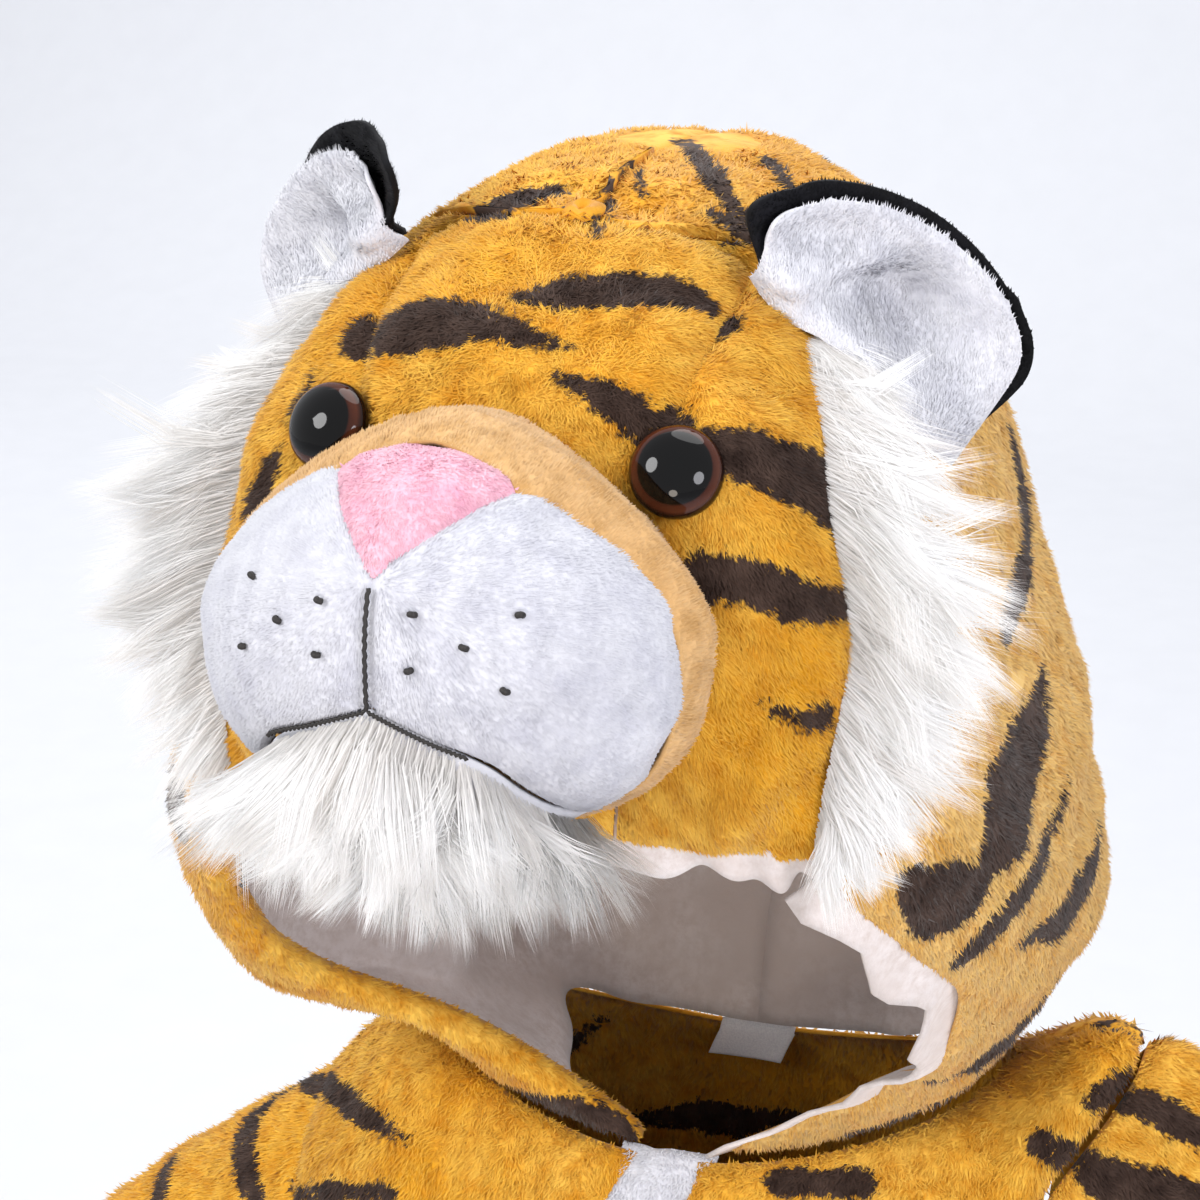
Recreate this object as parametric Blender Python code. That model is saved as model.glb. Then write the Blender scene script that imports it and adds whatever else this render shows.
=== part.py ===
"""Toddler's hooded plush onesie with a stuffed tiger head on the hood, filled out and hollow.

Metres, +Z up. The tiger looks along -Y and its left side is +X. The origin is the middle of the neck, where
the wearer's shoulders carry the garment. Sizes below are millimetres; build() turns them into metres.
"""

import math

import bpy
import numpy as np

MM = 0.001
PLUSH = 2.4  # thickness of the plush cloth, pile included
FLEECE = 1.8  # thickness of the white lining
LINING_IN = 4.4  # depth of the lining's outer side under the hood's outer side
SEAM = 0.3  # gap between neighbouring pieces
HALF = SEAM / 2

# The hood's level sections, each a squared oval, and how far out the side panel's front edge lies.
HOOD = {
    "height": (0, 28, 63, 100, 140, 182, 233, 280, 312, 332, 343, 350, 354),
    "width": (108, 128, 138, 138, 135, 125, 110, 98, 82, 64, 48, 31, HALF),
    "front": (-53, -69, -103, -146, -180, -200, -205, -200, -184, -156, -138, -118, -76),
    "back": (57, 64, 80, 90, 96, 98, 95, 82, 60, 36, 14, -8, -36),
    "front_square": (2.0, 2.4, 3.0, 3.6, 4.0, 4.4, 4.4, 4.2, 3.2, 2.5, 2.2, 2.0, 2.0),
    "back_square": (2.0, 2.2, 2.4, 2.5, 2.5, 2.5, 2.4, 2.3, 2.2, 2.1, 2.0, 2.0, 2.0),
}
HOOD_EDGE = {
    "height": (0, 28, 63, 100, 140, 182, 233, 280, 312, 332, 340, 346),
    "out": (19, 64, 105, 118, 110, 95, 98, 89, 76, 60, 41, 0),
}
FACE_SEAM = {"height": (182, 240, 290, 305, 332, 340, 346), "out": (34, 40, 44, 47, 50, 36, 0)}
FACE_LOW, SEAM_TOP, CROWN = 182, 346, 354
NECK_RISE, NECK_GAP, NECK_ENDS = 28, 0.7, 75

# The body's level sections from the neck down, with the rise of each ring at its sides.
BODY = {
    "height": (0, -5, -14, -30, -60, -120, -220, -320, -390, -435, -470),
    "width": (109, 133, 152, 162, 166, 166, 167, 173, 177, 174, 168),
    "front": (-54, -61, -68, -75, -82, -90, -98, -104, -102, -93, -82),
    "back": (58, 64, 69, 74, 80, 85, 87, 92, 96, 91, 83),
    "rise": (28, 26, 20, 11, 3, 0, 0, 0, 0, 0, 0),
}
LEG = {
    "height": (-470, -520, -600, -680, -716),
    "centre": (87, 87, 85, 81, 79),
    "radius": (81, 76, 66, 56, 53),
}
FRONT_GAP = {"height": (0, -40, -110, -716), "half": (17, 12, 1.0, 1.0)}
ARMHOLE_TOP, ARMHOLE_LOW, ARMHOLE_SPREAD = -16, -128, math.radians(36)
HIP_START, CROTCH_START, CROTCH = -300, -404, -470

# Each sleeve's middle line: distance from the armhole, slope below level in degrees, and tube radius.
SLEEVES = {
    "left": {"along": (0, 60, 130, 210, 290), "slope": (16, 18, 30, 46, 56), "radius": (58, 54, 49, 45, 43)},
    "right": {"along": (0, 60, 130, 210, 290), "slope": (42, 43, 50, 58, 64), "radius": (58, 54, 49, 45, 43)},
}

# The lean of the filled garment: its level lines drop to the left at the head and rise at the shoulders.
LEAN = {
    "height": (-720, -300, -120, -40, -12, 0, 60, 180, 300),
    "rise": (0.0, 0.0, 0.03, 0.03, 0.03, 0.03, 0.04, 0.0, -0.03),
    "sway": (-12, -18, -22, -14, -4, 0, 0, 0, 0),
}
SHOULDER_LIFT, SHOULDER_DROP, SHOULDER_FROM, SHOULDER_TO = 42, 18, 95, 165

# The largest folds of the filled cloth, each pushed along a way between two points. The first is the slack
# of the hood's right rim, which swells out.
FOLDS = (
    {"start": (-130, -130, 160), "end": (-130, -80, 90), "way": (-1, -0.1, -0.25), "depth": 13, "width": 48},
    {"start": (136, -40, 52), "end": (70, -95, 30), "way": (-0.8, 0.6, 0), "depth": 9, "width": 16},
    {"start": (-136, -30, 44), "end": (-85, -90, 28), "way": (0.8, 0.6, 0), "depth": 7, "width": 15},
    {"start": (130, 10, 130), "end": (120, -80, 95), "way": (-1, 0, 0), "depth": 4, "width": 20},
    {"start": (60, -178, 232), "end": (72, -168, 190), "way": (-0.5, 0.85, 0), "depth": 4, "width": 11},
    {"start": (-12, -115, 352), "end": (12, -122, 350), "way": (0, 0.2, -1), "depth": 4, "width": 9},
    {"start": (120, -60, -130), "end": (48, -98, -175), "way": (-0.3, 1, 0), "depth": 8, "width": 24},
    {"start": (-125, -55, -125), "end": (-50, -98, -160), "way": (0.3, 1, 0), "depth": 7, "width": 22},
    {"start": (-150, -40, -250), "end": (-40, -105, -285), "way": (0.3, 1, 0), "depth": 6, "width": 26},
    {"start": (72, -96, -392), "end": (130, -70, -360), "way": (-0.2, 1, 0), "depth": 9, "width": 20},
    {"start": (-54, -100, -400), "end": (-125, -75, -370), "way": (0.2, 1, 0), "depth": 8, "width": 22},
    {"start": (110, 75, -140), "end": (10, 90, -190), "way": (-0.2, -1, 0), "depth": 8, "width": 26},
    {"start": (-130, 60, -230), "end": (-20, 92, -265), "way": (0.2, -1, 0), "depth": 7, "width": 25},
    {"start": (20, 98, -395), "end": (125, 70, -350), "way": (-0.2, -1, 0), "depth": 8, "width": 24},
    {"start": (40, -80, -590), "end": (135, -30, -620), "way": (-0.3, 1, 0), "depth": 6, "width": 20},
    {"start": (-45, -75, -560), "end": (-135, -30, -600), "way": (0.3, 1, 0), "depth": 6, "width": 20},
    {"start": (-50, 75, -640), "end": (-130, 30, -610), "way": (0.3, -1, 0), "depth": 5, "width": 20},
    {"start": (240, -50, -110), "end": (262, 30, -150), "way": (-0.5, 0.3, 0.6), "depth": 6, "width": 16},
    {"start": (-215, -50, -170), "end": (-245, 30, -175), "way": (0.5, 0.3, 0.6), "depth": 6, "width": 16},
    {"start": (300, -40, -215), "end": (330, 30, -190), "way": (0.5, 0.4, 0.5), "depth": 5, "width": 15},
    {"start": (-262, -45, -235), "end": (-295, 30, -250), "way": (0.5, 0.4, 0.3), "depth": 5, "width": 15},
)

# The stuffed muzzle, as seen from the front: an oval dome standing on the face.
MUZZLE_MIDDLE, MUZZLE_WIDE, MUZZLE_UP, MUZZLE_DOWN = 255, 71, 54, 60
MUZZLE_BACK, MUZZLE_REACH, MUZZLE_ROUND = -196, 85, 2.6
MUZZLE_EDGE, MUZZLE_FOOT, BEARD_EDGE = 0.988, 0.87, 0.95
CHEEK_LOWER = {"along": (0, 0.3, 0.6, 0.8, 1), "x": (HALF, 15, 30, 39, 46), "z": (246, 240, 233.5, 222, 209)}
CHEEK_UPPER = {
    "along": (0, 0.1, 0.2, 0.32, 0.45, 0.6, 0.8, 1),
    "x": (HALF, 12.5, 25.4, 41, 53, 63.5, 66.3, 54.3),
    "z": (278.5, 288, 294.6, 286.7, 277.3, 263.5, 243, 214.8),
}
NOSE = {
    "out": (0, 7, 13, 19, 24.4),
    "low": (280.0, 285.2, 290.1, 293.4, 295.2),
    "up": (303.6, 303.1, 301.4, 299.1, 296.7),
}
BAND_INNER = {
    "turn": (-90, -62, -48, -37, -25, -10, 7, 23, 38, 57, 63, 90),
    "share": (0.965, 0.965, 0.965, 0.965, 0.958, 0.953, 0.95, 0.949, 0.935, 0.914, 0.934, 0.94),
}

EAR_FOOT = {"along": (0, 0.5, 1), "height": (331, 303, 268), "turn": (44, 66, 84)}
EAR_UP, EAR_FORWARD = (0.34, 0.4, 0.88), (0.50, -0.84, -0.11)
EAR_HALF, EAR_HIGH, EAR_CUP, EAR_ROLL, EAR_RIM, EAR_GAP, EAR_BACK_UP = 43, 50, 15, 6, 3.0, 1.4, 1.0
EAR_STAND, EAR_CLEAR = 1.2, 0.016
EYE_PLACE, EYE_RADIUS, EYE_HIGH = (50.5, 290.5), 12.0, 8.5

# Long fur: locks stand on narrow backing strips beside the face and under the muzzle.
RUFF_LOW, RUFF_HIGH, RUFF_WIDE, RUFF_LENGTH = 186, 294, 12, 52
BEARD_HALF, BEARD_LENGTH = 42, 54
LOCK = {"along": (0.3, 0.65, 1.0), "stand": (0.6, 0.5, 0.42)}
LOCK_WIDTHS = (0.6, 0.35)

STUD_HEIGHTS, STUD_RADIUS, STUD_HIGH, STUD_IN = (-128, -187, -246, -306, -364), 5.0, 1.7, 9.0
UNDERLAP_GAP, UNDERLAP_OUT, STUD_GAP = 1.9, (-17, -6, 6, 17), 0.55

COLOURS = {
    "tiger_plush": ("#E39A26", 0.95),
    "lining_fleece": ("#E4E3E8", 0.95),
    "white_plush": ("#ECEDF2", 0.92),
    "tan_plush": ("#DFAE6C", 0.92),
    "pink_plush": ("#F4BDD6", 0.92),
    "black_plush": ("#101015", 0.9),
    "long_fur": ("#F1EFEA", 0.85),
    "eye_plastic": ("#120A08", 0.12),
    "label_tape": ("#F4F4F4", 0.8),
    "stud_plastic": ("#D9962E", 0.4),
}


def from_hex(code):
    """An sRGB hex colour as linear red, green and blue."""
    values = [int(code[i : i + 2], 16) / 255 for i in (1, 3, 5)]
    return [v / 12.92 if v <= 0.04045 else ((v + 0.055) / 1.055) ** 2.4 for v in values]


def clear_scene():
    for obj in list(bpy.data.objects):
        bpy.data.objects.remove(obj)


def make_materials():
    made = {}
    for name, (code, roughness) in COLOURS.items():
        material = bpy.data.materials.new(name)
        material.use_nodes = True
        shader = material.node_tree.nodes["Principled BSDF"]
        shader.inputs["Base Color"].default_value = (*from_hex(code), 1)
        shader.inputs["Roughness"].default_value = roughness
        material.diffuse_color = (*from_hex(code), 1)
        made[name] = material
    return made


def read(table, key, column, at):
    """A smooth reading of a table's column, by slopes that never overshoot."""
    x, y = np.asarray(table[key], float), np.asarray(table[column], float)
    if x[0] > x[-1]:
        x, y = x[::-1], y[::-1]
    step, rise = np.diff(x), np.diff(y) / np.diff(x)
    slope = np.zeros(len(x))
    same = rise[:-1] * rise[1:] > 0
    inner = np.zeros(len(x) - 2)
    inner[same] = 2 * rise[:-1][same] * rise[1:][same] / (rise[:-1][same] + rise[1:][same])
    slope[1:-1] = inner
    slope[0], slope[-1] = rise[0], rise[-1]
    at = np.clip(np.asarray(at, float), x[0], x[-1])
    k = np.clip(np.searchsorted(x, at) - 1, 0, len(x) - 2)
    t = (at - x[k]) / step[k]
    return (
        (2 * t**3 - 3 * t**2 + 1) * y[k]
        + (t**3 - 2 * t**2 + t) * step[k] * slope[k]
        + (3 * t**2 - 2 * t**3) * y[k + 1]
        + (t**3 - t**2) * step[k] * slope[k + 1]
    )


def soft_step(value, low, high):
    t = np.clip((np.asarray(value, float) - low) / (high - low), 0, 1)
    return t * t * (3 - 2 * t)


def settle(points):
    """The garment's folds and its lean, applied to every piece alike so that neighbours stay together."""
    points = np.array(points, float)
    for fold in FOLDS:
        start, way = np.array(fold["start"], float), unit(fold["way"])
        line = np.array(fold["end"], float) - start
        share = np.clip((points - start) @ line / (line @ line), 0, 1)
        away = np.linalg.norm(points - start - share[..., None] * line, axis=-1)
        points += fold["depth"] * np.exp(-((away / fold["width"]) ** 2))[..., None] * way
    x = points[..., 0]
    lift = np.where(x > 0, SHOULDER_LIFT, -SHOULDER_DROP) * soft_step(np.abs(x), SHOULDER_FROM, SHOULDER_TO)
    near_shoulder = 1 - soft_step(np.abs(points[..., 2]), 60, 260)
    rise, sway = (read(LEAN, "height", column, points[..., 2]) for column in ("rise", "sway"))
    points[..., 2] += x.clip(-170, 170) * rise + lift * near_shoulder
    points[..., 0] += sway
    return points


def unit(vectors):
    vectors = np.asarray(vectors, float)
    return vectors / np.linalg.norm(vectors, axis=-1, keepdims=True)


def normals_of(grid, inside, around=False):
    """Unit normals of a grid of points, pointing away from the point inside."""
    if around:
        wide = np.concatenate([grid[:, -1:], grid, grid[:, :1]], axis=1)
        along = np.gradient(wide, axis=1)[:, 1:-1]
    else:
        along = np.gradient(grid, axis=1)
    normal = unit(np.cross(along, np.gradient(grid, axis=0)))
    outward = (normal * (grid - np.asarray(inside, float))).sum()
    return normal if outward > 0 else -normal


def build(name, points, faces, material):
    """One closed body from points in millimetres, with its faces turned out."""
    corners = settle(points) * MM
    volume = 0.0
    for face in faces:
        for i in range(1, len(face) - 1):
            volume += np.dot(corners[face[0]], np.cross(corners[face[i]], corners[face[i + 1]]))
    if volume < 0:
        faces = [face[::-1] for face in faces]
    mesh = bpy.data.meshes.new(name)
    mesh.from_pydata([tuple(p) for p in corners], [], faces)
    mesh.shade_smooth()
    mesh.set_sharp_from_angle(angle=math.radians(50))
    mesh.materials.append(material)
    obj = bpy.data.objects.new(name, mesh)
    bpy.context.scene.collection.objects.link(obj)
    return obj


def wall(name, outer, material, thickness, inside, around=False, locks=None, keep=(), normals=None):
    """A cloth wall: outer points in rows, the same points moved in, and edges. A lock stands on a cell.

    Each (axis, sign) in keep holds the wall on its own side of that middle plane.
    """
    outer = np.array(outer, float)
    rows, columns = outer.shape[:2]
    if normals is None:
        normals = normals_of(outer, inside, around)
    inner = outer - thickness * normals
    for axis, sign in keep:
        for layer in (outer, inner):
            layer[..., axis] = sign * np.maximum(sign * layer[..., axis], HALF)
    points = [*outer.reshape(-1, 3), *inner.reshape(-1, 3)]
    back = rows * columns
    settled = settle(outer)
    first, second = settled[1:, 1:] - settled[:-1, :-1], settled[1:, :-1] - settled[:-1, 1:]
    turned = np.linalg.norm(first, axis=-1) > np.linalg.norm(second, axis=-1)

    def at(j, i):
        return j * columns + i % columns

    faces = []
    cells = columns if around else columns - 1
    for j in range(rows - 1):
        for i in range(cells):
            cell = [at(j, i), at(j, i + 1), at(j + 1, i + 1), at(j + 1, i)]
            halves = halved(cell, i < columns - 1 and turned[j, i])
            faces += [[back + k for k in half[::-1]] for half in halves]
            if locks and (j, i) in locks:
                faces += lock_faces(points, cell, locks[j, i])
            else:
                faces += halves
    for i in range(cells):
        faces.append([at(0, i + 1), at(0, i), back + at(0, i), back + at(0, i + 1)])
        last = rows - 1
        faces.append([at(last, i), at(last, i + 1), back + at(last, i + 1), back + at(last, i)])
    if not around:
        end = columns - 1
        for j in range(rows - 1):
            faces.append([at(j, 0), at(j + 1, 0), back + at(j + 1, 0), back + at(j, 0)])
            faces.append([at(j + 1, end), at(j, end), back + at(j, end), back + at(j + 1, end)])
    return build(name, points, faces, material)


def halved(cell, turned):
    """The two triangles of a cell, split the same way on both layers so that they stay apart."""
    a, b, c, d = cell
    return [[b, c, d], [b, d, a]] if turned else [[a, b, c], [a, c, d]]


def lock_faces(points, cell, path):
    """A lock of fur on one cell of the backing: the cell's outline narrows along the path to a point."""
    corners = np.array([points[k] for k in cell])
    middle = corners.mean(axis=0)
    ring, faces = cell, []
    for place, share in zip(path[:-1], LOCK_WIDTHS):
        start = len(points)
        points.extend(middle + place + (corners - middle) * share)
        new = [start + k for k in range(4)]
        faces += [[ring[k], ring[(k + 1) % 4], new[(k + 1) % 4], new[k]] for k in range(4)]
        ring = new
    points.append(middle + path[-1])
    tip = len(points) - 1
    return faces + [[ring[k], ring[(k + 1) % 4], tip] for k in range(4)]


def hood_point(x_or_turn, height, by_turn=False):
    """A point of the hood. A turn runs from 0 at the front to pi at the back, on the +X side."""
    width, front, back = (read(HOOD, "height", column, height) for column in ("width", "front", "back"))
    turn = x_or_turn if by_turn else turn_at(x_or_turn, height)
    squares = [read(HOOD, "height", column, height) for column in ("front_square", "back_square")]
    square = np.where(np.cos(turn) > 0, *squares)
    middle, deep = (front + back) / 2, (back - front) / 2
    x = width * np.abs(np.sin(turn)) ** (2 / square)
    y = middle - deep * np.sign(np.cos(turn)) * np.abs(np.cos(turn)) ** (2 / square)
    rise = (NECK_RISE * np.sin(turn) ** 2 + NECK_GAP) * (1 - soft_step(height, 0, NECK_ENDS))
    return np.stack([x, y, np.broadcast_to(height + rise, np.shape(x))], axis=-1)


def hood_normals(turns, height):
    """Outward normals of the hood along one level row."""
    before, after = np.clip(turns - 0.01, 0, math.pi), np.clip(turns + 0.01, 0, math.pi)
    around = hood_point(after, height, True) - hood_point(before, height, True)
    upward = hood_point(turns, min(height + 0.5, CROWN), True) - hood_point(turns, height - 0.5, True)
    return unit(np.cross(around, upward))


def turn_at(x, height):
    """The turn at which the hood's section is this far out, on its front half."""
    width, square = read(HOOD, "height", "width", height), read(HOOD, "height", "front_square", height)
    return np.arcsin(np.clip(x / np.maximum(width, x), 0, 1) ** (square / 2))


def hood_patch(heights, start, end, columns, inward=0.0):
    """Rows of the hood between two turns for each height, moved inward, and the normals there."""
    share = np.linspace(0, 1, columns)
    turns = [a + (b - a) * share for a, b in zip(start, end)]
    grid = np.stack([hood_point(row, z, True) for row, z in zip(turns, heights)])
    normals = np.stack([hood_normals(row, z) for row, z in zip(turns, heights)])
    grid = grid - inward * normals
    grid[..., 0] = np.maximum(grid[..., 0], HALF)
    return grid, normals


def steps(table, count):
    """Heights for the rows of a patch, with the same number of steps between two lines of its table."""
    lines = np.asarray(table, float)
    parts = [np.linspace(a, b, count, endpoint=False) for a, b in zip(lines[:-1], lines[1:])]
    return np.concatenate([*parts, lines[-1:]])


def mirrored(grid, side):
    return grid * np.array([side, 1, 1])


def both_sides():
    """The tiger's left side lies at +X."""
    return (("left", 1), ("right", -1))


def edge_turn(heights, shift=0.0):
    out = np.where(heights < SEAM_TOP, read(HOOD_EDGE, "height", "out", heights), 0)
    return np.array([float(turn_at(max(x + shift, 0.0), z)) for x, z in zip(out, heights)])


def seam_gap(heights):
    """A seam's gap as a turn of the hood's section."""
    return 1.6 * SEAM / np.maximum(read(HOOD, "height", "width", heights), 20)


def make_hood(materials):
    heights = steps(HOOD["height"][:-1] + (CROWN,), 2)
    middle = (0, -50, 180)
    for name, side in both_sides():
        back = np.full(len(heights), math.pi)
        grid, out = hood_patch(heights, back, edge_turn(heights) + seam_gap(heights), 13)
        grid, out, keep = mirrored(grid, side), mirrored(out, side), [(0, side)]
        wall(f"hood_side_{name}", grid, materials["tiger_plush"], PLUSH, middle, keep=keep, normals=out)
        low = heights[heights <= 343]
        back, edge = np.full(len(low), math.pi), edge_turn(low) + seam_gap(low)
        grid, out = hood_patch(low, back, edge, 10, LINING_IN)
        front = hood_patch(low, back, edge_turn(low, -5) + seam_gap(low), 10, LINING_IN)[0]
        grid[:, -1] = np.where((low < FACE_LOW)[:, None], front[:, -1], grid[:, -1])
        grid, out = mirrored(grid, side), mirrored(out, side)
        wall(f"hood_lining_{name}", grid, materials["lining_fleece"], FLEECE, middle, keep=keep, normals=out)


def make_face(materials):
    heights = steps([z for z in HOOD["height"] if FACE_LOW <= z < SEAM_TOP] + [SEAM_TOP - 1], 2)
    seam = read(FACE_SEAM, "height", "out", heights)
    turns = np.array([float(turn_at(x, z)) for x, z in zip(seam, heights)])
    gap, middle, plush = seam_gap(heights), (0, -50, 260), materials["tiger_plush"]
    half, half_out = hood_patch(heights, np.zeros(len(heights)), turns - gap, 5)
    half[:, 0, 0] = half_out[:, 0, 0] = 0
    grid, out = (np.concatenate([mirrored(g[:, :0:-1], -1), g], axis=1) for g in (half, half_out))
    wall("face_forehead", grid, plush, PLUSH, middle, normals=out)
    rows = heights <= 332
    low = heights[rows]
    for name, side in both_sides():
        grid, out = hood_patch(low, turns[rows] + gap[rows], edge_turn(low) - gap[rows], 7)
        grid, out = mirrored(grid, side), mirrored(out, side)
        wall(f"face_cheek_{name}", grid, plush, PLUSH, middle, normals=out)


def muzzle_share(x, z):
    """How far out of the muzzle's outline a place lies: 0 in the middle, 1 on the outline."""
    above = z > MUZZLE_MIDDLE
    high, square = np.where(above, MUZZLE_UP, MUZZLE_DOWN), np.where(above, 1.5, 2.5)
    wide, tall = np.abs(x) / MUZZLE_WIDE, np.abs(z - MUZZLE_MIDDLE) / high
    return (wide**square + tall**square) ** (1 / square)


def muzzle_point(x, z):
    """The muzzle's surface, one point for each place seen from the front."""
    x, z = np.asarray(x, float), np.asarray(z, float)
    share = np.clip(muzzle_share(x, z), 0, 0.999)
    reach = (1 - share**MUZZLE_ROUND) ** (1 / MUZZLE_ROUND)
    return np.stack([x, MUZZLE_BACK - MUZZLE_REACH * reach, z], axis=-1)


def muzzle_ring(turn, share):
    """A place on the muzzle by its turn from +X upward and its share of the way out."""
    x, z = np.cos(turn), np.sin(turn)
    size = muzzle_share(x, z + MUZZLE_MIDDLE)
    return muzzle_point(share * x / size, MUZZLE_MIDDLE + share * z / size)


def face_behind(points, clear):
    """The points moved straight back until they lie just before the face."""
    points = np.array(points)
    for place in points:
        z = max(place[2], FACE_LOW)
        place[1] = hood_point(abs(place[0]), z)[1] - clear
    return points


def make_muzzle(materials):
    inside = (0, -205, MUZZLE_MIDDLE)
    along = np.linspace(0, 1, 12)
    lower = [read(CHEEK_LOWER, "along", axis, along) for axis in "xz"]
    upper = [read(CHEEK_UPPER, "along", axis, along) for axis in "xz"]
    rows = [muzzle_point(*((1 - t) * np.array(lower) + t * np.array(upper))) for t in np.linspace(0, 1, 7)]
    for name, side in both_sides():
        grid = mirrored(np.array(rows), side)
        wall(f"muzzle_cheek_{name}", grid, materials["white_plush"], PLUSH, inside, keep=[(0, side)])
    out = np.concatenate([-np.linspace(24.4, 0, 6), np.linspace(0, 24.4, 6)[1:]])
    low, up = read(NOSE, "out", "low", np.abs(out)), read(NOSE, "out", "up", np.abs(out))
    rows = [muzzle_point(out, low + (up - low) * t) for t in np.linspace(0, 1, 5)]
    wall("muzzle_nose", np.array(rows), materials["pink_plush"], PLUSH, inside)
    turns = np.radians(np.arange(-90, 270, 10.0))
    folded = 90 - np.abs(90 - np.degrees(turns))
    inner = read(BAND_INNER, "turn", "share", folded)
    rows = [muzzle_ring(turns, inner + (MUZZLE_EDGE - inner) * t) for t in (0, 0.5, 1)]
    narrow = (MUZZLE_FOOT, 1, MUZZLE_FOOT)
    foot = face_behind(rows[-1] * narrow + (0, 0, (1 - MUZZLE_FOOT) * MUZZLE_MIDDLE), SEAM + 1.1)
    waist = rows[-1] * 0.55 + foot * 0.45
    wall("muzzle_band", np.array([*rows, waist, foot]), materials["tan_plush"], PLUSH, inside, around=True)


def beard_rows():
    out = np.linspace(-BEARD_HALF, BEARD_HALF, 15)
    along = np.linspace(0, 1, 60)
    line = [read(CHEEK_LOWER, "along", axis, along) for axis in "xz"]
    top = np.interp(np.abs(out), *line) - 0.8 - 4 * (out / BEARD_HALF) ** 2
    wide = (np.abs(out) / MUZZLE_WIDE) ** 2.5
    low = MUZZLE_MIDDLE - MUZZLE_DOWN * (BEARD_EDGE**2.5 - wide) ** 0.4
    return [muzzle_point(out, top + (low - top) * t) for t in np.linspace(0, 1, 4)]


def lock_path(normal, comb, length):
    """A lock that leaves along the normal and bends into the way it is combed."""
    bends = zip(LOCK["along"], LOCK["stand"])
    return [length * share * unit(stand * normal + (1 - stand) * comb) for share, stand in bends]


def cell_normals(grid, inside):
    normal = normals_of(grid, inside)
    return unit(normal[:-1, :-1] + normal[1:, :-1] + normal[:-1, 1:] + normal[1:, 1:])


def make_beard(materials):
    inside = (0, -205, MUZZLE_MIDDLE)
    grid = np.array(beard_rows())
    normals, locks = cell_normals(grid, inside), {}
    for j in range(grid.shape[0] - 1):
        for i in range(grid.shape[1] - 1):
            out = grid[j : j + 2, i : i + 2, 0].mean() / BEARD_HALF
            comb = unit((0.75 * out, -0.25 + 0.12 * j, -1))
            length = BEARD_LENGTH * (1 - 0.12 * j - 0.2 * out**2 + 0.05 * math.sin(7 * i + 3 * j))
            locks[j, i] = lock_path(normals[j, i], comb, length)
    wall("chin_beard", grid, materials["long_fur"], PLUSH, inside, locks=locks)


def make_ruffs(materials):
    heights = np.linspace(RUFF_LOW, RUFF_HIGH, 15)
    for name, side in both_sides():
        start = edge_turn(heights) + 0.01
        wide = RUFF_WIDE / read(HOOD, "height", "width", heights)
        grid = hood_patch(heights, start, start + wide, 3, -(PLUSH + SEAM))[0]
        normals, locks = cell_normals(grid, (0, -50, 240)), {}
        for j in range(len(heights) - 1):
            for i in range(2):
                high = soft_step(heights[j], RUFF_LOW, RUFF_HIGH + 10)
                comb = unit((0.45, 0.15 + 0.3 * i - 0.2 * high, -0.6 - 0.4 * high))
                length = RUFF_LENGTH * (1 + 0.1 * math.sin(5 * j + 2 * i) - 0.12 * i - 0.25 * high)
                path = lock_path(normals[j, i], comb, length)
                locks[j, i] = [place * np.array([side, 1, 1]) for place in path]
        wall(f"ruff_{name}", mirrored(grid, side), materials["long_fur"], PLUSH, (0, -50, 240), locks=locks)


def ear_grid():
    """The ear's white side: rows from the foot on the hood to the rim, cupped, the front edge rolled."""
    up, forward = unit(EAR_UP), unit(EAR_FORWARD)
    across = unit(np.cross(up, forward))
    share = np.linspace(-1, 1, 11)
    foot = (share + 1) / 2
    heights, turns = read(EAR_FOOT, "along", "height", foot), np.radians(read(EAR_FOOT, "along", "turn", foot))
    feet = np.array([hood_point(turn, z, True) for turn, z in zip(turns, heights)]) + up * EAR_STAND
    middle = feet.mean(axis=0)
    rows = []
    for t in np.linspace(0, 1, 8):
        level = 2 * t - 1
        narrow = math.sqrt(1 - max(level, 0) ** 2 / 2)
        droop = np.sqrt(1 - share**2 / 2) if level > 0 else 1
        high = EAR_HIGH * (1 + level * droop) / 2
        wide = EAR_HALF * share * narrow
        swell = math.sin(math.pi * t) ** 1.7
        depth = swell * (2 * EAR_ROLL * np.clip(-share - 0.45, 0, 1) ** 1.5 - EAR_CUP * (1 - share**2))
        flat = middle + across * wide[:, None] + up * np.broadcast_to(high, share.shape)[:, None]
        hold = (1 - t) ** 2
        start = middle + across * (EAR_HALF * share)[:, None]
        rows.append(flat + forward * depth[:, None] + hold * (feet - start))
    return np.array(rows)


def clear_of_hood(place):
    """Which places stand clear of the hood's outer side."""
    width, front, back = (read(HOOD, "height", column, place[..., 2]) for column in ("width", "front", "back"))
    squares = [read(HOOD, "height", column, place[..., 2]) for column in ("front_square", "back_square")]
    middle, deep = (front + back) / 2, (back - front) / 2
    square = np.where(place[..., 1] < middle, *squares)
    share = np.abs(place[..., 0] / width) ** square + np.abs((place[..., 1] - middle) / deep) ** square
    return (share > 1 + EAR_CLEAR) | (place[..., 2] > CROWN)


def ear_normals(grid, behind):
    """The ear's normals, evened out, with those at the rim's corners taken from the cells beside them."""
    normal = normals_of(grid, behind)
    normal[-1, 0], normal[-1, -1] = normal[-3, 2], normal[-3, -3]
    normal[-1, 1], normal[-1, -2] = normal[-3, 2], normal[-3, -3]
    normal[-2, 0], normal[-2, -1] = normal[-3, 2], normal[-3, -3]
    wide = np.pad(normal, ((1, 1), (1, 1), (0, 0)), mode="edge")
    return unit(2 * normal + wide[:-2, 1:-1] + wide[2:, 1:-1] + wide[1:-1, :-2] + wide[1:-1, 2:])


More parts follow.
